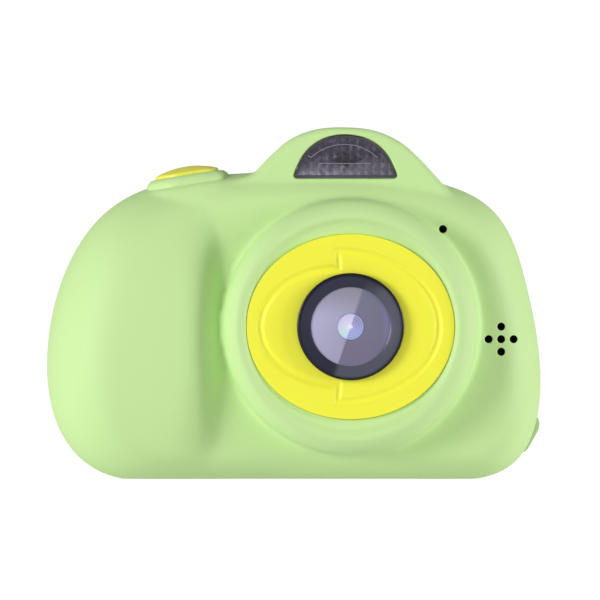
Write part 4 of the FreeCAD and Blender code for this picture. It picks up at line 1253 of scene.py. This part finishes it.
def softened(node, width, segments=3, sharp=30.0, new_finish=None):
    """A copy of a CAD node with its hard edges rounded over, riding where the node rides."""
    source = NODES[node]
    bm = bmesh.new()
    bm.from_mesh(source.data)
    bmesh.ops.remove_doubles(bm, verts=bm.verts, dist=1e-6)
    bmesh.ops.dissolve_limit(bm, angle_limit=math.radians(1.0), verts=bm.verts, edges=bm.edges)
    mesh = baked(bm, ("BEVEL", {"width": width * MM, "segments": segments, "limit_method": "ANGLE",
                                "angle_limit": math.radians(35), "use_clamp_overlap": True,
                                "harden_normals": False}))
    body = source["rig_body"]
    return finished(node, body, mesh, [node], new_finish or finish(SLOTS[node]), sharp)


SLOTS = {part["node"]: part["material_slot"] for part in frame["record"]["subparts"]}


class TOY_OT_strap_lug(ToyOperator):
    """Rounds the edges of the hard eyelet for a wrist strap"""
    bl_idname = "toy.strap_lug"
    bl_label = "Strap eyelet"

    def build(self, scene):
        softened("strap_lug", 0.45)


class TOY_OT_keys(ToyOperator):
    """Gives the rear keys their white finish and printed symbols"""
    bl_idname = "toy.keys"
    bl_label = "Rear keys"

    def build(self, scene):
        for node, slot in SLOTS.items():
            if slot == "white_abs":
                dress(NODES[node], finish("white_abs"))


def dress(obj, material):
    if obj.material_slots:
        for material_slot in obj.material_slots:
            material_slot.material = material
    else:
        obj.data.materials.append(material)


class TOY_OT_finishes(ToyOperator):
    """Gives every other part of the works its own finish"""
    bl_idname = "toy.finishes"
    bl_label = "Other parts"

    def build(self, scene):
        for node, slot in SLOTS.items():
            if not NODES[node].hide_render:
                dress(NODES[node], finish(CLOTH_FACED.get(node, slot)))


# The sound parts show their black cloth front.
CLOTH_FACED = {"speaker": "foam_black", "microphone": "foam_black"}


def area_light(name, power, size, place, target, colour=(1, 1, 1)):
    data = bpy.data.lights.new(name, "AREA")
    data.shape = "RECTANGLE"
    data.size, data.size_y = size
    data.energy = power
    data.color = colour
    obj = bpy.data.objects.new(name, data)
    bpy.context.scene.collection.objects.link(obj)
    obj.location = place
    obj.rotation_mode = "QUATERNION"
    obj.rotation_quaternion = (Vector(target) - Vector(place)).to_track_quat("-Z", "Y")
    return obj


class TOY_OT_stage(ToyOperator):
    """Sets the pale floor, the studio light and the camera"""
    bl_idname = "toy.stage"
    bl_label = "Floor, light and camera"

    def build(self, scene):
        own = scene.toy_stage
        bm = bmesh.new()
        bmesh.ops.create_grid(bm, x_segments=1, y_segments=1, size=4)
        mesh = bpy.data.meshes.new("floor")
        bm.to_mesh(mesh)
        bm.free()
        floor = bpy.data.objects.new("floor", mesh)
        scene.collection.objects.link(floor)
        paper = Finish("floor_paper")
        fibre = paper.noise(3.0, 2.0)
        paper.shade(Base_Color=paper.blend(fibre, (0.20, 0.20, 0.20), (0.23, 0.23, 0.23)), Roughness=0.9,
                    Emission_Color=(1, 1, 1), Specular_IOR_Level=0.1)
        seen = paper.node("ShaderNodeLightPath", output="Is Camera Ray")
        paper.shade(Emission_Strength=seen * (own.floor_seen - own.floor_glow) + own.floor_glow)
        mesh.materials.append(paper.material)

        world = bpy.data.worlds.new("white_room")
        world.use_nodes = True
        nodes, links = world.node_tree.nodes, world.node_tree.links
        back = nodes["Background"]
        back.inputs["Color"].default_value = (1, 1, 1, 1)
        back.inputs["Strength"].default_value = own.room
        seen = nodes.new("ShaderNodeBackground")
        seen.inputs["Color"].default_value = (1, 1, 1, 1)
        seen.inputs["Strength"].default_value = 1.05
        mix, path = nodes.new("ShaderNodeMixShader"), nodes.new("ShaderNodeLightPath")
        links.new(path.outputs["Is Camera Ray"], mix.inputs[0])
        links.new(back.outputs[0], mix.inputs[1])
        links.new(seen.outputs[0], mix.inputs[2])
        links.new(mix.outputs[0], nodes["World Output"].inputs["Surface"])
        scene.world = world
        scene.view_settings.view_transform = "Standard"

        target = (0, 0, 0.035)
        area_light("key_light", own.key, (0.6, 0.9), (-1.42, -0.85, 0.25), target)
        area_light("fill_light", own.fill, (0.4, 0.9), (1.38, -0.4, 0.2), target)

        low, high = CAD_BOX
        data = bpy.data.cameras.new("camera")
        eye = bpy.data.objects.new("eye", data)
        scene.collection.objects.link(eye)
        scene.camera = eye
        data.sensor_width = 36.0
        reach = own.distance + PLATE_FRONT
        data.lens = 36.0 * own.distance / VIEW_WIDTH
        eye.location = (VIEW_CENTRE[0], -own.distance, VIEW_CENTRE[1])
        eye.rotation_euler = (math.pi / 2, 0, 0)
        data.clip_end = 20


# The view's width at the body's widest outline, and the point at its middle, in metres.
VIEW_WIDTH = 0.12
VIEW_CENTRE = (0.00127, 0.0357)


class TOY_PT_panel(Panel):
    """Lists the building steps and their settings"""
    bl_idname = "TOY_PT_panel"
    bl_label = "Toy Camera"
    bl_space_type = "VIEW_3D"
    bl_region_type = "UI"
    bl_category = "Toy Camera"

    def draw(self, context):
        for group, settings in SETTINGS.items():
            box = self.layout.box()
            own = getattr(context.scene, group)
            for prop in settings.__annotations__:
                box.prop(own, prop)
        for step in STEPS:
            self.layout.operator(step.bl_idname)


STEPS = (TOY_OT_sleeve, TOY_OT_face_plate, TOY_OT_lens, TOY_OT_flash, TOY_OT_shutter, TOY_OT_port_cover,
         TOY_OT_strap_lug, TOY_OT_keys, TOY_OT_finishes, TOY_OT_stage)
CLASSES = (*SETTINGS.values(), *STEPS, TOY_PT_panel)


def register():
    for cls in CLASSES:
        bpy.utils.register_class(cls)
    for name, settings in SETTINGS.items():
        setattr(bpy.types.Scene, name, PointerProperty(type=settings))


def unregister():
    for name in SETTINGS:
        delattr(bpy.types.Scene, name)
    for cls in reversed(CLASSES):
        bpy.utils.unregister_class(cls)


def main():
    register()
    for step in STEPS:
        family, name = step.bl_idname.split(".")
        getattr(getattr(bpy.ops, family), name)()


if __name__ == "__main__":
    main()
